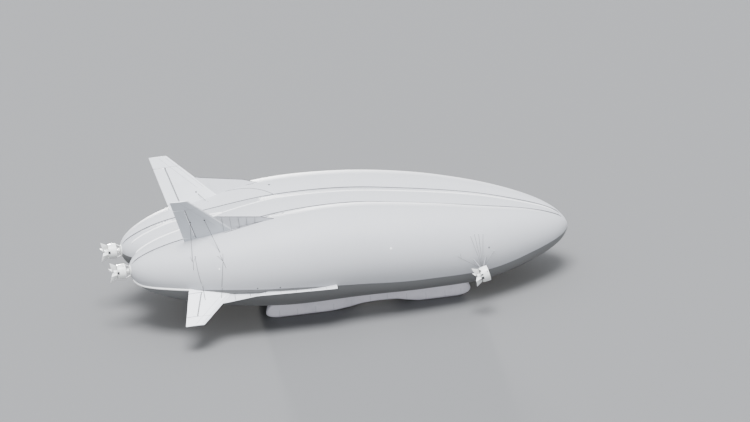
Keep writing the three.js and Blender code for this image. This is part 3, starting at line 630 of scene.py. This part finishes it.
def way_to_seam(share, ring, way):
    """How far round a section the seam low on the flank lies, from each point's way round."""
    _, lobe, radius, centre, _ = smooth_values(HULL_SECTIONS, share)
    turn = math.radians(90 - smooth_values(FLANK_SEAM, station_at(share))[1])
    seam_z = AXIS_HEIGHT + (centre + radius * math.sin(turn)) * METRE
    outside = [k for k, point in enumerate(ring) if point[1] >= lobe * METRE - 1e-9]
    nearest = min(outside, key=lambda k: abs(ring[k][2] - seam_z))
    return way[nearest] + (ring[nearest][2] - seam_z) / max(math.cos(turn), 0.2)


def hull_skin():
    """The envelope, with numbers for its cloth and its painted shade: the station, and the distances round
    a section from the crease, from the top of the outer lobe and from the seam low on the flank."""
    vertices, faces, station, crease, around, below = [], [], [], [], [], []
    top, low = INNER_STEPS, INNER_STEPS + OUTER_STEPS
    count = low + INNER_STEPS + 1
    for side in (1, -1):
        base = len(vertices)
        for i in range(HULL_STATIONS + 1):
            share = TAIL_END * i / HULL_STATIONS
            ring = half_section(share)
            way = [0.0]
            for a, b in zip(ring, ring[1:]):
                way.append(way[-1] + (Vector(a) - Vector(b)).length)
            seam = way_to_seam(share, ring, way)
            for (x, y, z), along in zip(ring, way):
                vertices.append((x, side * y, z))
                station.append(station_at(share))
                crease.append(min(abs(along - way[top]), abs(along - way[low])))
                around.append(max(along - way[top], 0.0))
                below.append(along - seam)
        last = base + HULL_STATIONS * count
        for start in range(base, last, count):
            for a in range(start, start + count - 1):
                quad = (a, a + 1, a + 1 + count, a + count)
                faces.append(quad[::-side])
        # the flat ends
        faces.append(tuple(range(base, base + count))[::-side])
        faces.append(tuple(range(last, last + count))[::side])
    obj = new_object("envelope_skin", vertices, faces)
    for name, values in zip(("station", "crease", "around", "below"), (station, crease, around, below)):
        numbers(obj, name, values)
    return obj


skin = hull_skin()
finish_piece(skin, "hull", angle=24)
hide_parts("envelope")
hull_tree = BVHTree.FromPolygons([v.co for v in skin.data.vertices],
                                 [tuple(f.vertices) for f in skin.data.polygons])


def hull_row(station):
    share = math.acos(1 - 2 * station / HULL_SPAN) / math.pi
    return smooth_values(HULL_SECTIONS, share)


def lobe_point(station, angle, lift=0.0):
    """A point on the left outer lobe, with its normal. The angle is from the crest, outwards."""
    _, c, r, centre, _ = hull_row(station)
    a = math.radians(angle)
    normal = Vector((0, math.sin(a), math.cos(a)))
    return place(station, c, centre) + normal * (r * METRE + lift), normal


def crease_point(station, low=False):
    _, c, r, centre, crease = hull_row(station)
    rise = math.sqrt(max(r * r - (c - crease) ** 2, 0))
    return place(station, crease, centre + (-rise if low else rise))


def flank_point(station, lift=0.0):
    return lobe_point(station, smooth_values(FLANK_SEAM, station)[1], lift)


def hull_at(point):
    """The nearest place on the hull, with its outward normal."""
    place_on, normal, _, _ = hull_tree.find_nearest(Vector(point))
    if normal.dot(place_on - Vector((place_on.x, 0, AXIS_HEIGHT))) < 0:
        normal = -normal
    return place_on, normal


def over_hull(points, lift=0.0):
    """The points dropped onto the hull, with normals."""
    found = [hull_at(p) for p in points]
    return [p + n * lift for p, n in found], [n for _, n in found]


def drop_to_hull(point):
    """The place on the hull straight below a point."""
    spot, _, _, _ = hull_tree.ray_cast(point, Vector((0, 0, -1)))
    return spot


def landing(path, skipped):
    """The number of the point at which a path comes down on the hull."""
    for i, point in enumerate(path):
        if i > skipped and (point - hull_at(point)[0]).length < TOUCH:
            return i
    return len(path) - 1


def hull_seams():
    cord = Shape()
    for low, lift, kind, sides in ((False, 0.007, "crease", 10), (True, -0.001, "low_crease", 8)):
        path = [crease_point(st, low) + Vector((0, 0, lift)) for st in spread(1.2, 87.6, 120)]
        cord.tube(path, RADIUS[kind], sides, 0.3)
    cord.both("crease_cord", "seam", "envelope_fabric")
    # from the fin's strake the seam runs in to the crease
    path = [lobe_point(st, STRAKE_SEAM_TURN * (1 - t) ** 2)[0]
            for t, st in zip(spread(0, 1, 24), spread(*STRAKE_SEAM, 24))]
    Shape().band(*over_hull(path), *TAPE["strake_seam"]).both("strake_seam", "seam", "envelope_fabric")
    # the seam low on the flank, and the thick white tape that follows it on the tail
    points, normals = zip(*(flank_point(st) for st in spread(3.0, 77.6, 110)))
    Shape().band(points, normals, *TAPE["flank"]).both("flank_seam", "seam_pale", "envelope_fabric")
    points = [flank_point(st, 0.004)[0] for st in spread(77.4, 87.7, 48)]
    Shape().tube(points, RADIUS["tail_tape"], 14, 0.4).both("tail_tape", "tape", "envelope_fabric")
    # pale cords over the inner side of each tail, and along the middle of the hull
    path = [drop_to_hull(place(st, smooth_values(TAIL_CORD, st)[1], 9)) for st in spread(68.4, 86.3, 60)]
    points, _ = over_hull(path, 0.002)
    Shape().tube(points, RADIUS["tail_cord"], 12, 0.3).both("tail_cord", "tape", "envelope_fabric")
    ridge = [drop_to_hull(place(st, 0.0, 12)) + Vector((0, 0, 0.003)) for st in spread(2.4, 68.6, 90)]
    Shape().tube(ridge, RADIUS["ridge"], 10, 0.3).piece("ridge_cord", "tape", "envelope_fabric")


def flank_patches():
    for look in ("tape", "seam"):
        shape = Shape()
        for station, angle, radius, kind in FLANK_PATCHES:
            if kind == look:
                point, normal = lobe_point(station, angle)
                shape.dome(point, normal, radius * 1.5, 0.002, 20)
                shape.dome(point, normal, radius * 0.6, 0.006, 12)
        shape.both(f"flank_patch_{look}", look, "envelope_fabric")


# Fins
def fin_point(level, station, span, off=0.0):
    fin = FINS[level]
    (foot_y, foot_z), (lean_y, lean_z) = fin["foot"], fin["lean"]
    return place(station, foot_y + lean_y * span + lean_z * off, foot_z + lean_z * span - lean_y * off)


def fin_normal(level):
    lean_y, lean_z = FINS[level]["lean"]
    return Vector((0, lean_z, -lean_y))


def fin_edge(level, span, column):
    """The station of a fin's leading (1) or trailing (2) edge at a distance along the span."""
    tip, root = FINS[level]["tip"], FINS[level]["root"]
    return root[column] + (tip[column] - root[column]) * (span - root[0]) / (tip[0] - root[0])


def hinge_station(level, span):
    low, high, span_from, span_to = FINS[level]["hinge"]
    return low + (high - low) * (span - span_from) / (span_to - span_from)


def fin_half(level, station, span):
    """Half the fin's thickness at a place on it, in real metres."""
    tip, root = FINS[level]["tip"][0], FINS[level]["root"][0]
    thick = FIN_THICKNESS + (FIN_TIP_THICKNESS - FIN_THICKNESS) * (span - root) / (tip - root)
    lead, trail = fin_edge(level, span, 1), fin_edge(level, span, 2)
    along = (station - lead) / (trail - lead)
    for (a, h), (b, g) in zip(FIN_PROFILE, FIN_PROFILE[1:]):
        if along <= b:
            return thick / 2 * (h + (g - h) * max(along - a, 0) / (b - a))
    return thick / 2 * FIN_PROFILE[-1][1]


def fin_face(level, side, station, span):
    """A point on one face of a fin. The side is 1 or -1, as for the normal."""
    return fin_point(level, station, span, fin_half(level, station, span) * side)


def stay_fittings():
    """Sleeves over the stays, a lug where each meets its fin, and a bridle and patch on the hull."""
    lugs, bridles, pads, sleeves = Shape(), Shape(), Shape(), Shape()
    for level, station, span, aim, foot, side in STAY_FEET:
        line = between(fin_point(level, station, span), place(*aim), 80)
        sleeves.tube(line[:landing(line, 8) + 1], RADIUS["sleeve"], 8)
        at = fin_face(level, side, station, span)
        for kind in ("lug", "lug_pin"):
            lugs.dome(at, fin_normal(level) * side, *BUTTON[kind])
        path = between(at, place(*foot), 60)
        rest, _ = over_hull(path[max(landing(path, 5) - 1, 0):], 0.003)
        if len(rest) > 2:
            bridles.tube(rest, RADIUS["bridle"], 8)
        end, normal = hull_at(place(*foot))
        pads.dome(end, normal, *BUTTON["foot"])
        bridles.dome(end, normal, *BUTTON["foot_pin"])
        if level == "upper" and side > 0:
            along = (end - at).normalized()
            sideways = along.cross(normal).normalized()
            fork = end - along * FORK_DOWN
            for turn in (-1, 1):
                spot, spot_normal = hull_at(fork - along * FORK_LENGTH + sideways * turn * FORK_HALF)
                bridles.tube(over_hull(between(fork, spot, 8), 0.002)[0], RADIUS["fork"], 6)
                pads.dome(spot, spot_normal, *BUTTON["fork_foot"])
    sleeves.both("stay_sleeves", "cable", "fin_skin")
    lugs.both("stay_lugs", "dark", "fin_skin")
    bridles.both("stay_bridles", "cable", "envelope_fabric")
    pads.both("stay_patches", "strake", "envelope_fabric")


def forward_rigging():
    """Stay rods that fan out from the top of each forward outrigger."""
    rods, pads = Shape(), Shape()
    station, offset, height, _ = ENGINES["forward"]
    top = place(station, offset, height) + Vector((0, -(DUCT["outer"] + 0.030), 0.028))
    for row in FORWARD_FAN + [FORWARD_AFT_STAY]:
        end, normal = hull_at(place(*row))
        rods.tube([top, end + normal * 0.002], RADIUS["forward_stay"], 6)
        rods.dome(end, normal, *BUTTON["fan_pin"])
        pads.dome(end, normal, *BUTTON["fan_foot"])
    end, _ = hull_at(place(*FORWARD_AFT_STAY))
    for spot in FORWARD_BRIDLE:
        rods.tube(over_hull(between(end, place(*spot), 6), 0.002)[0], RADIUS["forward_bridle"], 6)
    rods.both("forward_stays", "cable", "mount_tube")
    pads.both("forward_stay_patches", "strake", "envelope_fabric")


def fin_details():
    """Seals and dark lines along the hinges, tapes on the fixed fins, and hinge caps."""
    for level, fin in FINS.items():
        seals, lines, seams, caps = Shape(), Shape(), Shape(), Shape()
        _, _, low, high = fin["hinge"]
        seals.tube([fin_point(level, hinge_station(level, span) + SEAL_BEHIND, span)
                    for span in spread(low + 0.1, high - 0.1, 12)], RADIUS["hinge_seal"], 8)
        lead, hinge = fin_edge(level, high, 1), hinge_station(level, high) - 0.1
        for side in (1, -1):
            normals = [fin_normal(level) * side] * 14
            line = [fin_face(level, side, hinge_station(level, span) - 0.09, span)
                    for span in spread(low, high, 14)]
            lines.band(line, normals, *TAPE["hinge"])
            line = [fin_face(level, side, lead + 0.15 + (hinge - lead) * t, high + 0.05)
                    for t in spread(0.0, 1.0, 14)]
            seams.band(line, normals, *TAPE["fin_tip"])
            for inset in FIN_TAPES:
                line = [fin_face(level, side, fin_edge(level, span, 1) + inset, span)
                        for span in spread(fin["tape_from"], fin["tip"][0] - 0.35, 14)]
                seams.band(line, normals, *TAPE["fin_edge"])
            for span in (low + 0.15, (low + high) / 2, high - 0.15):
                spot = fin_face(level, side, hinge_station(level, span) - 0.14, span)
                caps.dome(spot, normals[0], *BUTTON["hinge_cap"])
        seals.both(f"hinge_seal_{level}", "rubber", "fin_skin")
        lines.both(f"hinge_lines_{level}", "seam", "fin_skin")
        seams.both(f"fin_seams_{level}", "seam_pale", "fin_skin")
        caps.both(f"hinge_caps_{level}", "dark", "fin_skin")


def strake_row(level, station):
    rows = STRAKE_EDGES[level]
    for a, b in zip(rows, rows[1:]):
        if station >= b[0]:
            t = (station - a[0]) / (b[0] - a[0])
            return a[1] + (b[1] - a[1]) * t, a[2] + (b[2] - a[2]) * t
    return rows[-1][1:]


def strake_root(level, station, off=0.0):
    """Where the line across a strake meets the hull."""
    span, rise = strake_row(level, station)
    return hull_at(fin_point(level, station, span - 1.2, rise * 0.7 + off))[0]


def strake_details():
    """A hem round each strake's free edge, a dark line along its foot, and battens across it."""
    for level, rows in STRAKE_EDGES.items():
        hem, battens, foot = Shape(), Shape(), Shape()
        foot.tube([strake_root(level, station, 0.06)
                   for station in spread(rows[0][0] - 1.6, rows[-1][0] + 0.6, 30)], RADIUS["foot"], 8, 0.4)
        corners = [fin_point(level, *row) for row in rows]
        path = [corners[0]]
        for a, b in zip(corners, corners[1:]):
            path += between(a, b, 12)[1:]
        hem.tube(path, RADIUS["hem"], 8, 0.4)
        for station in STRAKE_BATTENS[level]:
            span, rise = strake_row(level, station)
            for side in (1, -1):
                shift = fin_normal(level) * side * 0.0045
                outer = fin_point(level, station, span - 0.03, rise) + shift
                line = between(outer, strake_root(level, station) + shift, 5)
                battens.tube(line, RADIUS["batten"], 6, 0.5)
        hem.both(f"strake_hem_{level}", STRAKE_HEMS[level], "strake_fabric")
        foot.both(f"strake_foot_{level}", "seam", "strake_fabric")
        battens.both(f"strake_battens_{level}", "seam", "strake_fabric")


# Propulsors
def airfoil(chord, thick, count=8):
    """A closed section round a chord that runs from 0 at the nose to the chord."""
    upper = []
    for k in range(count + 1):
        t = (1 - math.cos(math.pi * k / count)) / 2
        y = thick / 2 * (2.97 * math.sqrt(t) - 1.26 * t - 3.52 * t ** 2 + 2.84 * t ** 3 - 1.015 * t ** 4)
        upper.append((t * chord, y))
    return upper + [(x, -y) for x, y in reversed(upper[1:-1])]


def duct_shape(boss):
    """A duct with joint bands, bolts and stators, and the boss that it tilts on."""
    shape = Shape()
    front, back, inner, outer, lip = DUCT.values()
    middle, half = (inner + outer) / 2, (outer - inner) / 2
    nose = [(front - lip + lip * math.cos(a), middle + half * math.sin(a))
            for a in spread(math.pi / 2, -math.pi / 2, 11)]
    profile = [(back, outer - 0.008), (back * 0.5, outer - 0.0026), (0, outer)] + nose
    profile += [(0.012, inner), (-0.03, inner + 0.0003), (back, inner + 0.003)]
    shape.turned(profile, DUCT_SIDES)
    for x, drop in ((front - 0.018, -0.0002), (-0.012, 0.0012), (back + 0.014, 0.0066)):
        shape.raised_ring(x, 0.004, 0.001, outer - drop - 0.002, outer - drop + 0.0012, DUCT_SIDES)
    bolt = Shape().dome((back + 0.014, outer - 0.0056, 0), (0, 1, 0), *BUTTON["bolt"])
    shape.add_round(bolt, DUCT_BOLTS, 180 / DUCT_BOLTS)
    chord, thick, root = STATOR["chord"], STATOR["thickness"], NACELLE["radius"] + 0.0014
    rings = []
    for t in spread(0, 1, 6):
        flare = 1 + 0.25 * (2 * t - 1) ** 6
        out = root + (inner - NACELLE["radius"]) * t
        rings.append([(STATOR["x"] + chord / 2 - x, out, y) for x, y in airfoil(chord, thick * flare)])
    shape.add_round(Shape().loft(rings), STATOR["count"], 180 / STATOR["count"])
    if boss:
        end = -(outer + TRUNNION["length"])
        shape.tube([(0, -0.147, 0), (0, -0.153, 0), (0, end + 0.001, 0), (0, end, 0)],
                   TRUNNION["radius"], 32, 0.94)
        shape.tube([(0, -0.1475, 0), (0, -0.1515, 0)], 0.026, 32)
    return shape


def duct_vents(boss):
    """Dark slots on the outside of the duct, and a dark lining in its bore as painted shade."""
    shape = Shape()
    front, back, inner, outer, _ = DUCT.values()
    fore, rear = front - 0.016, back + (0.004 if boss else 0.034)
    # the dark lining is painted shade inside the duct
    for x0, x1, *rises in ((fore, 0.010, 0.002, -0.0004, -0.0006, 0.002),
                           (0.004, rear, 0.003, -0.0006, 0.002, 0.005)):
        shape.turned([(x, inner + rise) for x, rise in zip((x0, x0, x1, x1), rises)], DUCT_SIDES)
    for start, end, x0, x1 in FORWARD_SLOTS if boss else STERN_SLOTS:
        low, high = outer - 0.004, outer + 0.0008 - max(-x0, 0) * 0.035
        corners = ((x0, low), (x0, high), (x1, high + 0.0006), (x1, low))
        shape.loft([[axis_point(x, radius, math.radians(turn)) for x, radius in corners]
                    for turn in spread(start, end, 9)])
    return shape


def nacelle_shape():
    """A round nose, a hollow body that draws in at the back, a joint ring and cooling ribs."""
    front, back, radius, wall = NACELLE.values()
    shape = Shape()
    cap, taper, draw, bevel = front - 0.024, 0.05, 0.006, 0.014
    shoulder = [(cap + (front - cap) * math.sin(a), radius - bevel + bevel * math.cos(a))
                for a in spread(math.pi / 2, 0, 8)]
    tail = [(back + taper * (1 - t), radius - draw * t * t) for t in spread(0, 1, 6)]
    inside = [(back, radius - draw - wall), (back + taper, radius - wall), (cap, radius - wall),
              (cap, 0.002)]
    shape.turned([(front, 0.002)] + shoulder + tail + inside, 56)
    shape.raised_ring(-0.0225, 0.0035, 0.001, radius - 0.001, radius + 0.001, 56)
    foot = radius - 0.004
    rib = Shape().loft([[(x, foot, -0.0011), (x, foot + 0.001 + rise, 0), (x, foot, 0.0011)]
                        for x, rise in NACELLE_RIB])
    for turn in (-12, -4, 4, 12):
        shape.add_round(rib, 4, turn)
    return shape


def propeller_shapes():
    """The spinner and the blades, which stay two pieces."""
    hub = Shape()
    start = NACELLE["front"] + RUNNING_GAP
    r, front, tip = PROPELLER["hub"], PROPELLER["front"], PROPELLER["spinner"]
    nose = [(front + (tip - front) * math.sin(a), r * math.cos(a) ** 0.9)
            for a in spread(0, math.pi / 2 * 0.985, 16)]
    hub.turned([(start, 0.0004), (start, r - 0.001), (start + 0.001, r)] + nose + [(tip, 0.0004)], 48)
    hub.raised_ring(front - 0.0016, 0.0014, 0.0004, r - 0.001, r + 0.0006, 48)
    root = r * 0.6
    rings = []
    for share in spread(0, 1, 22):
        _, twist, thick, wide = smooth_values(BLADE_SECTIONS, share)
        if share > BLADE_ROUNDING:
            wide *= math.sqrt(max(1 - (share - BLADE_ROUNDING) ** 2 / 0.0205, 0.03))
        chord = PROPELLER["chord"] * wide
        a = math.radians(twist)
        radius = root + (PROPELLER["tip"] - root) * share
        rings.append([(PROPELLER["middle"] - (x - chord * 0.42) * math.sin(a) + y * math.cos(a),
                       -(x - chord * 0.42) * math.cos(a) - y * math.sin(a), radius)
                      for x, y in airfoil(chord, max(thick, 0.0012), 7)])
    blades = Shape()
    blades.add_round(Shape().loft(rings), PROPELLER["blades"])
    return hub, blades


# The hub behind the vanes is dark grey as painted shade between the vanes.
def vane_hub():
    start, r, length = NACELLE["back"] - RUNNING_GAP, VANE["hub"], VANE["length"]
    end = start - length
    return Shape().turned([(start, 0.0004), (start, r), (start - length * 0.6, r - 0.002), (end, r - 0.010),
                           (end - 0.007, r * 0.45), (end - 0.010, 0.0004)], 48)


def vane_shape():
    """Four flat vanes with rounded corners and edges, and a rib across each face."""
    outline = [Vector((x, 0, r)) for x, r in VANE_OUTLINE]
    fine = []
    for i, b in enumerate(outline):
        a, c = outline[i - 1], outline[(i + 1) % len(outline)]
        cut = min(0.007, (b - a).length * 0.35, (c - b).length * 0.35)
        first, last = b + (a - b).normalized() * cut, b + (c - b).normalized() * cut
        fine += [first.lerp(b, t).lerp(b.lerp(last, t), t) for t in spread(0, 1, 5)]
    centre = sum(fine, Vector()) / len(fine)
    half = VANE["thickness"] / 2
    rings = []
    for across, inset in ((-1, 0.0035), (-0.45, 0.0008), (0, 0), (0.45, 0.0008), (1, 0.0035)):
        rings.append([p + (centre - p).normalized() * inset + Vector((0, half * across, 0)) for p in fine])
    vane = Shape().loft(rings)
    for side in (-1, 1):
        low, high = (Vector((x, side * half, z)) for x, z in VANE_RIB)
        line = [low.lerp(high, t) for t in spread(0.03, 0.94, 6)]
        vane.band(line, [Vector((0, side, 0))] * len(line), *TAPE["vane_rib"])
    shape = Shape()
    shape.add_round(vane, VANE["count"])
    return shape


def propulsors():
    hub, blades = propeller_shapes()
    parts = [("nacelle", nacelle_shape(), "white", "propulsor_shell"),
             ("exhaust_vanes", vane_shape(), "vane", "vane_skin")]
    for place_name, (station, offset, height, tilt) in ENGINES.items():
        at = Matrix.Translation(place(station, offset, height))
        at = at @ Matrix.Rotation(-math.radians(tilt), 4, "Y")
        boss = place_name == "forward"
        body = "propulsor_forward_{}" if boss else "hull"
        spin = f"propeller_{place_name}_" + "{}"
        for kind, shape, look, slot in parts + [("duct", duct_shape(boss), "white", "propulsor_shell")]:
            made = Shape().add(shape, at).both(f"{kind}_skin_{place_name}", look, slot, body, 40)
            for obj, (side, _) in zip(made, SIDES):
                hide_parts(f"{kind}_{place_name}_{side}")
        Shape().add(duct_vents(boss), at).both(f"duct_vents_{place_name}", "dark", "propulsor_shell", body)
        Shape().add(vane_hub(), at).both(f"vane_hub_{place_name}", "spinner", "vane_skin", body, 40)
        Shape().add(hub, at).both(f"spinner_{place_name}", "spinner", "propulsor_shell", spin, 40)
        made = Shape().add(blades, at).both(f"blades_{place_name}", "blade", "propeller_blade", spin, 40)
        for obj, (side, _) in zip(made, SIDES):
            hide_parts(f"propeller_{place_name}_{side}")


# Cabin and keel modules
def keel_point(behind, offset, above):
    """A point by millimetres behind the cabin's front and above its floor; the offset is in metres."""
    return Vector((NOSE_X - CABIN_FRONT * METRE - behind * MM, offset,
                   AXIS_HEIGHT + KEEL_FLOOR * METRE + above * MM))


def cabin_details():
    """Window rubbers, door edges and hinges, belly rails, a step and an aerial."""
    half = KEEL_HALF
    frames, seams, bits = Shape(), Shape(), Shape()
    for back, fore in WINDOWS:
        corners = [Vector(c) for c in ((back, WINDOW_LOW), (fore, WINDOW_LOW), (fore, WINDOW_HIGH),
                                       (back, WINDOW_HIGH))]
        path = []
        for i, b in enumerate(corners):
            a, c = corners[i - 1], corners[(i + 1) % 4]
            for t in spread(0, 1, 5):
                behind, above = b.lerp(a, 0.08 * (1 - t)).lerp(b.lerp(c, 0.08 * t), t)
                # the cabin draws in ahead of this line
                narrow = 1 if behind >= 230 else 0.92 + 0.08 * max(behind - 90, 0) / 140
                path.append(keel_point(behind, half * narrow, above))
        path.append(path[0])
        frames.tube(path, RADIUS["window"], 8)
    for x in DOOR_EDGES:
        seams.band([keel_point(x, half, DOOR_LOW), keel_point(x, half, DOOR_HIGH)], [Vector((0, 1, 0))] * 2,
                   *TAPE["door"])
    for z in (70, 172):
        bits.slab(keel_point(572, half - 0.001, z - 9), keel_point(549, half + 0.0022, z + 9), 0.0008)
    bits.slab(keel_point(680, half * 0.45, -7), keel_point(300, half * 0.45 + 0.012, 1), 0.002)
    bits.slab(keel_point(655, half - 0.012, -6), keel_point(570, half + 0.012, -1), 0.0015)
    bits.slab(keel_point(500, -0.002, -26), keel_point(460, 0.002, 1), 0.0015)
    frames.both("window_frames", "rubber", "glazing")
    seams.both("cabin_seams", "seam", "cabin_panel")
    bits.both("cabin_fittings", "spinner", "cabin_panel")


def module_details():
    """Bands round the payload and fuel modules, and a hatch with a latch in each bay."""
    bands, hatches = Shape(), Shape()
    half, out, down = KEEL_HALF, Vector((0, 1, 0)), Vector((0, 0, -1))
    for name, step in MODULES:
        low, high = (Vector(v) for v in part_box(name))
        length = high.x - low.x
        count = round(length / step)
        for i in range(1, count):
            x = low.x + length * i / count
            upright = [(x, half, z) for z in spread(low.z + 0.003, high.z - 0.03, 4)]
            bands.band(upright, [out] * 4, *TAPE["module"])
            across = [(x, y, low.z) for y in spread(0, half - 0.001, 4)]
            bands.band(across, [down] * 4, *TAPE["module"])
        for i in range(count):
            x = low.x + length * (i + 0.5) / count
            wide = length / count * 0.33
            hatches.slab((x - wide, half - 0.001, low.z + 0.03),
                         (x + wide, half + 0.0022, low.z + 0.10), 0.0012)
            hatches.dome((x + wide * 0.7, half + 0.002, low.z + 0.065), out, *BUTTON["latch"])
    bands.both("module_bands", "seam_pale", "cabin_panel")
    hatches.both("module_hatches", "panel", "cabin_panel")


# Landing skids
def skid_skins():
    rings = []
    first, last = SKID_SECTIONS[0][0], SKID_SECTIONS[-1][0]
    for i in range(SKID_STEPS + 1):
        even = i / SKID_STEPS
        share = 0.5 * (1 - math.cos(math.pi * even)) / 2 + 0.5 * even
        station, half, low, top = smooth_values(SKID_SECTIONS, first + (last - first) * share)
        half, low, top = half * METRE, max(low, 0.0) * METRE, top * METRE
        flat = half * SKID_FLAT
        wide = half - flat
        deep = min(wide, (top - low) / 2 - 0.002)
        turns = [math.pi / 2 * k / SKID_CORNER_STEPS for k in range(SKID_CORNER_STEPS + 1)]
        under = [(flat + wide * math.cos(a), low + deep * (1 - math.sin(a))) for a in turns]
        over = [(y, top + low - z) for y, z in reversed(under)]
        rounded = over + under
        ring = rounded + [(-y, z) for y, z in reversed(rounded)]
        rings.append([(NOSE_X - station * METRE, SKID_OFFSET * METRE + y, z) for y, z in ring])
    made = Shape().loft(rings).both("skid_skin", "skid", "skid_fabric", angle=50)
    for tube, (side, _) in zip(made, SIDES):
        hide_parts(f"landing_skid_{side}")


def skid_details():
    """Wraps round each skid, and the skirts that join it to the hull."""
    wraps, skirt = Shape(), Shape()
    turns = [math.pi / 2 * k / WRAP_STEPS for k in range(WRAP_STEPS - 1)]
    for station in SKID_WRAPS:
        _, half, lift, _ = smooth_values(SKID_SECTIONS, station)
        flat = half * SKID_FLAT
        corner = half - flat
        for side in (1, -1):
            path = [place(station, SKID_OFFSET + side * (flat + corner * math.cos(a)),
                          FLOOR + max(lift, 0) + corner * (1 - math.sin(a))) for a in turns]
            normals = [Vector((0, side * math.cos(a), -math.sin(a))) for a in turns]
            top = path[0] + Vector((0, 0, WRAP_HEIGHT * METRE))
            wraps.band([top] + path, normals[:1] + normals, *TAPE["wrap"])
    for side in (1, -1):
        line = [place(station, SKID_OFFSET + side * smooth_values(SKID_SECTIONS, station)[1], -9.0)
                for station in spread(23.2, 60.4, 90)]
        skirt.band(*over_hull(line), *TAPE["skirt"])
    wraps.both("skid_wraps", "wrap", "skid_fabric")
    skirt.both("skid_skirts", "skid", "skid_fabric")


skid_skins()
hull_seams()
flank_patches()
stay_fittings()
forward_rigging()
fin_details()
strake_details()
propulsors()
cabin_details()
module_details()
skid_details()


# Camera, floor and light
def towards(azimuth, elevation):
    """The direction to where a camera stands or a light shines from, by angles in degrees."""
    a, e = math.radians(azimuth), math.radians(elevation)
    return Vector((math.sin(a) * math.cos(e), -math.cos(a) * math.cos(e), math.sin(e)))


def aim_camera():
    turn = towards(AZIMUTH, ELEVATION).to_track_quat("Z", "Y").to_matrix()
    turn = turn @ Matrix.Rotation(-math.radians(ROLL), 3, "Z")
    spot = place(TAIL_STATION, 0, 0) + turn @ Vector((ACROSS, UP, FAR))
    camera = bpy.data.cameras.new("camera")
    camera.sensor_width = SENSOR
    camera.lens = SENSOR * FAR / WIDTH
    camera.clip_start, camera.clip_end = 1.0, 2000.0
    obj = bpy.data.objects.new("camera", camera)
    obj.matrix_world = Matrix.Translation(spot) @ turn.to_4x4()
    bpy.context.scene.collection.objects.link(obj)
    bpy.context.scene.camera = obj


def lay_floor():
    corners = [(x * FLOOR_HALF, y * FLOOR_HALF, 0) for x, y in ((-1, -1), (1, -1), (1, 1), (-1, 1))]
    floor = new_object("floor", corners, [(0, 1, 2, 3)])
    look = Maker("floor_plain", (0.152, 0.154, 0.157), 0.85)
    look.raise_by(look.noise(3, 2), 0.2)
    floor.data.materials.append(look.done(0.05, 0.001))


def sun(name, azimuth, elevation, strength, angle, colour):
    """A soft far light."""
    data = bpy.data.lights.new(name, "SUN")
    data.energy = strength
    data.angle = math.radians(angle)
    data.color = colour
    obj = bpy.data.objects.new(name, data)
    obj.rotation_mode = "QUATERNION"
    obj.rotation_quaternion = towards(azimuth, elevation).to_track_quat("Z", "Y")
    bpy.context.scene.collection.objects.link(obj)


def dome_light(zenith, horizon):
    """A soft dome, bright overhead and dim at the sides."""
    world = bpy.data.worlds.new("studio")
    world.use_nodes = True
    tree = world.node_tree
    kinds = ("ShaderNodeTexCoord", "ShaderNodeSeparateXYZ", "ShaderNodeMapRange")
    coords, split, rise = (tree.nodes.new(kind) for kind in kinds)
    for socket, value in (("From Min", 0.0), ("From Max", 0.9), ("To Min", horizon), ("To Max", zenith)):
        rise.inputs[socket].default_value = value
    background = tree.nodes["Background"]
    background.inputs["Color"].default_value = (0.86, 0.90, 0.96, 1)
    tree.links.new(coords.outputs["Generated"], split.inputs[0])
    tree.links.new(split.outputs["Z"], rise.inputs["Value"])
    tree.links.new(rise.outputs["Result"], background.inputs["Strength"])
    bpy.context.scene.world = world


aim_camera()
lay_floor()
sun("rim_light", 176, 2, 5.6, 3, (1.0, 0.98, 0.95))
sun("key_light", -14, 74, 8.2, 30, (0.98, 0.985, 1.0))
sun("fill_light", -14, 6, 1.4, 50, (0.96, 0.97, 1.0))
dome_light(1.6, 0.12)

bpy.context.view_layer.update()
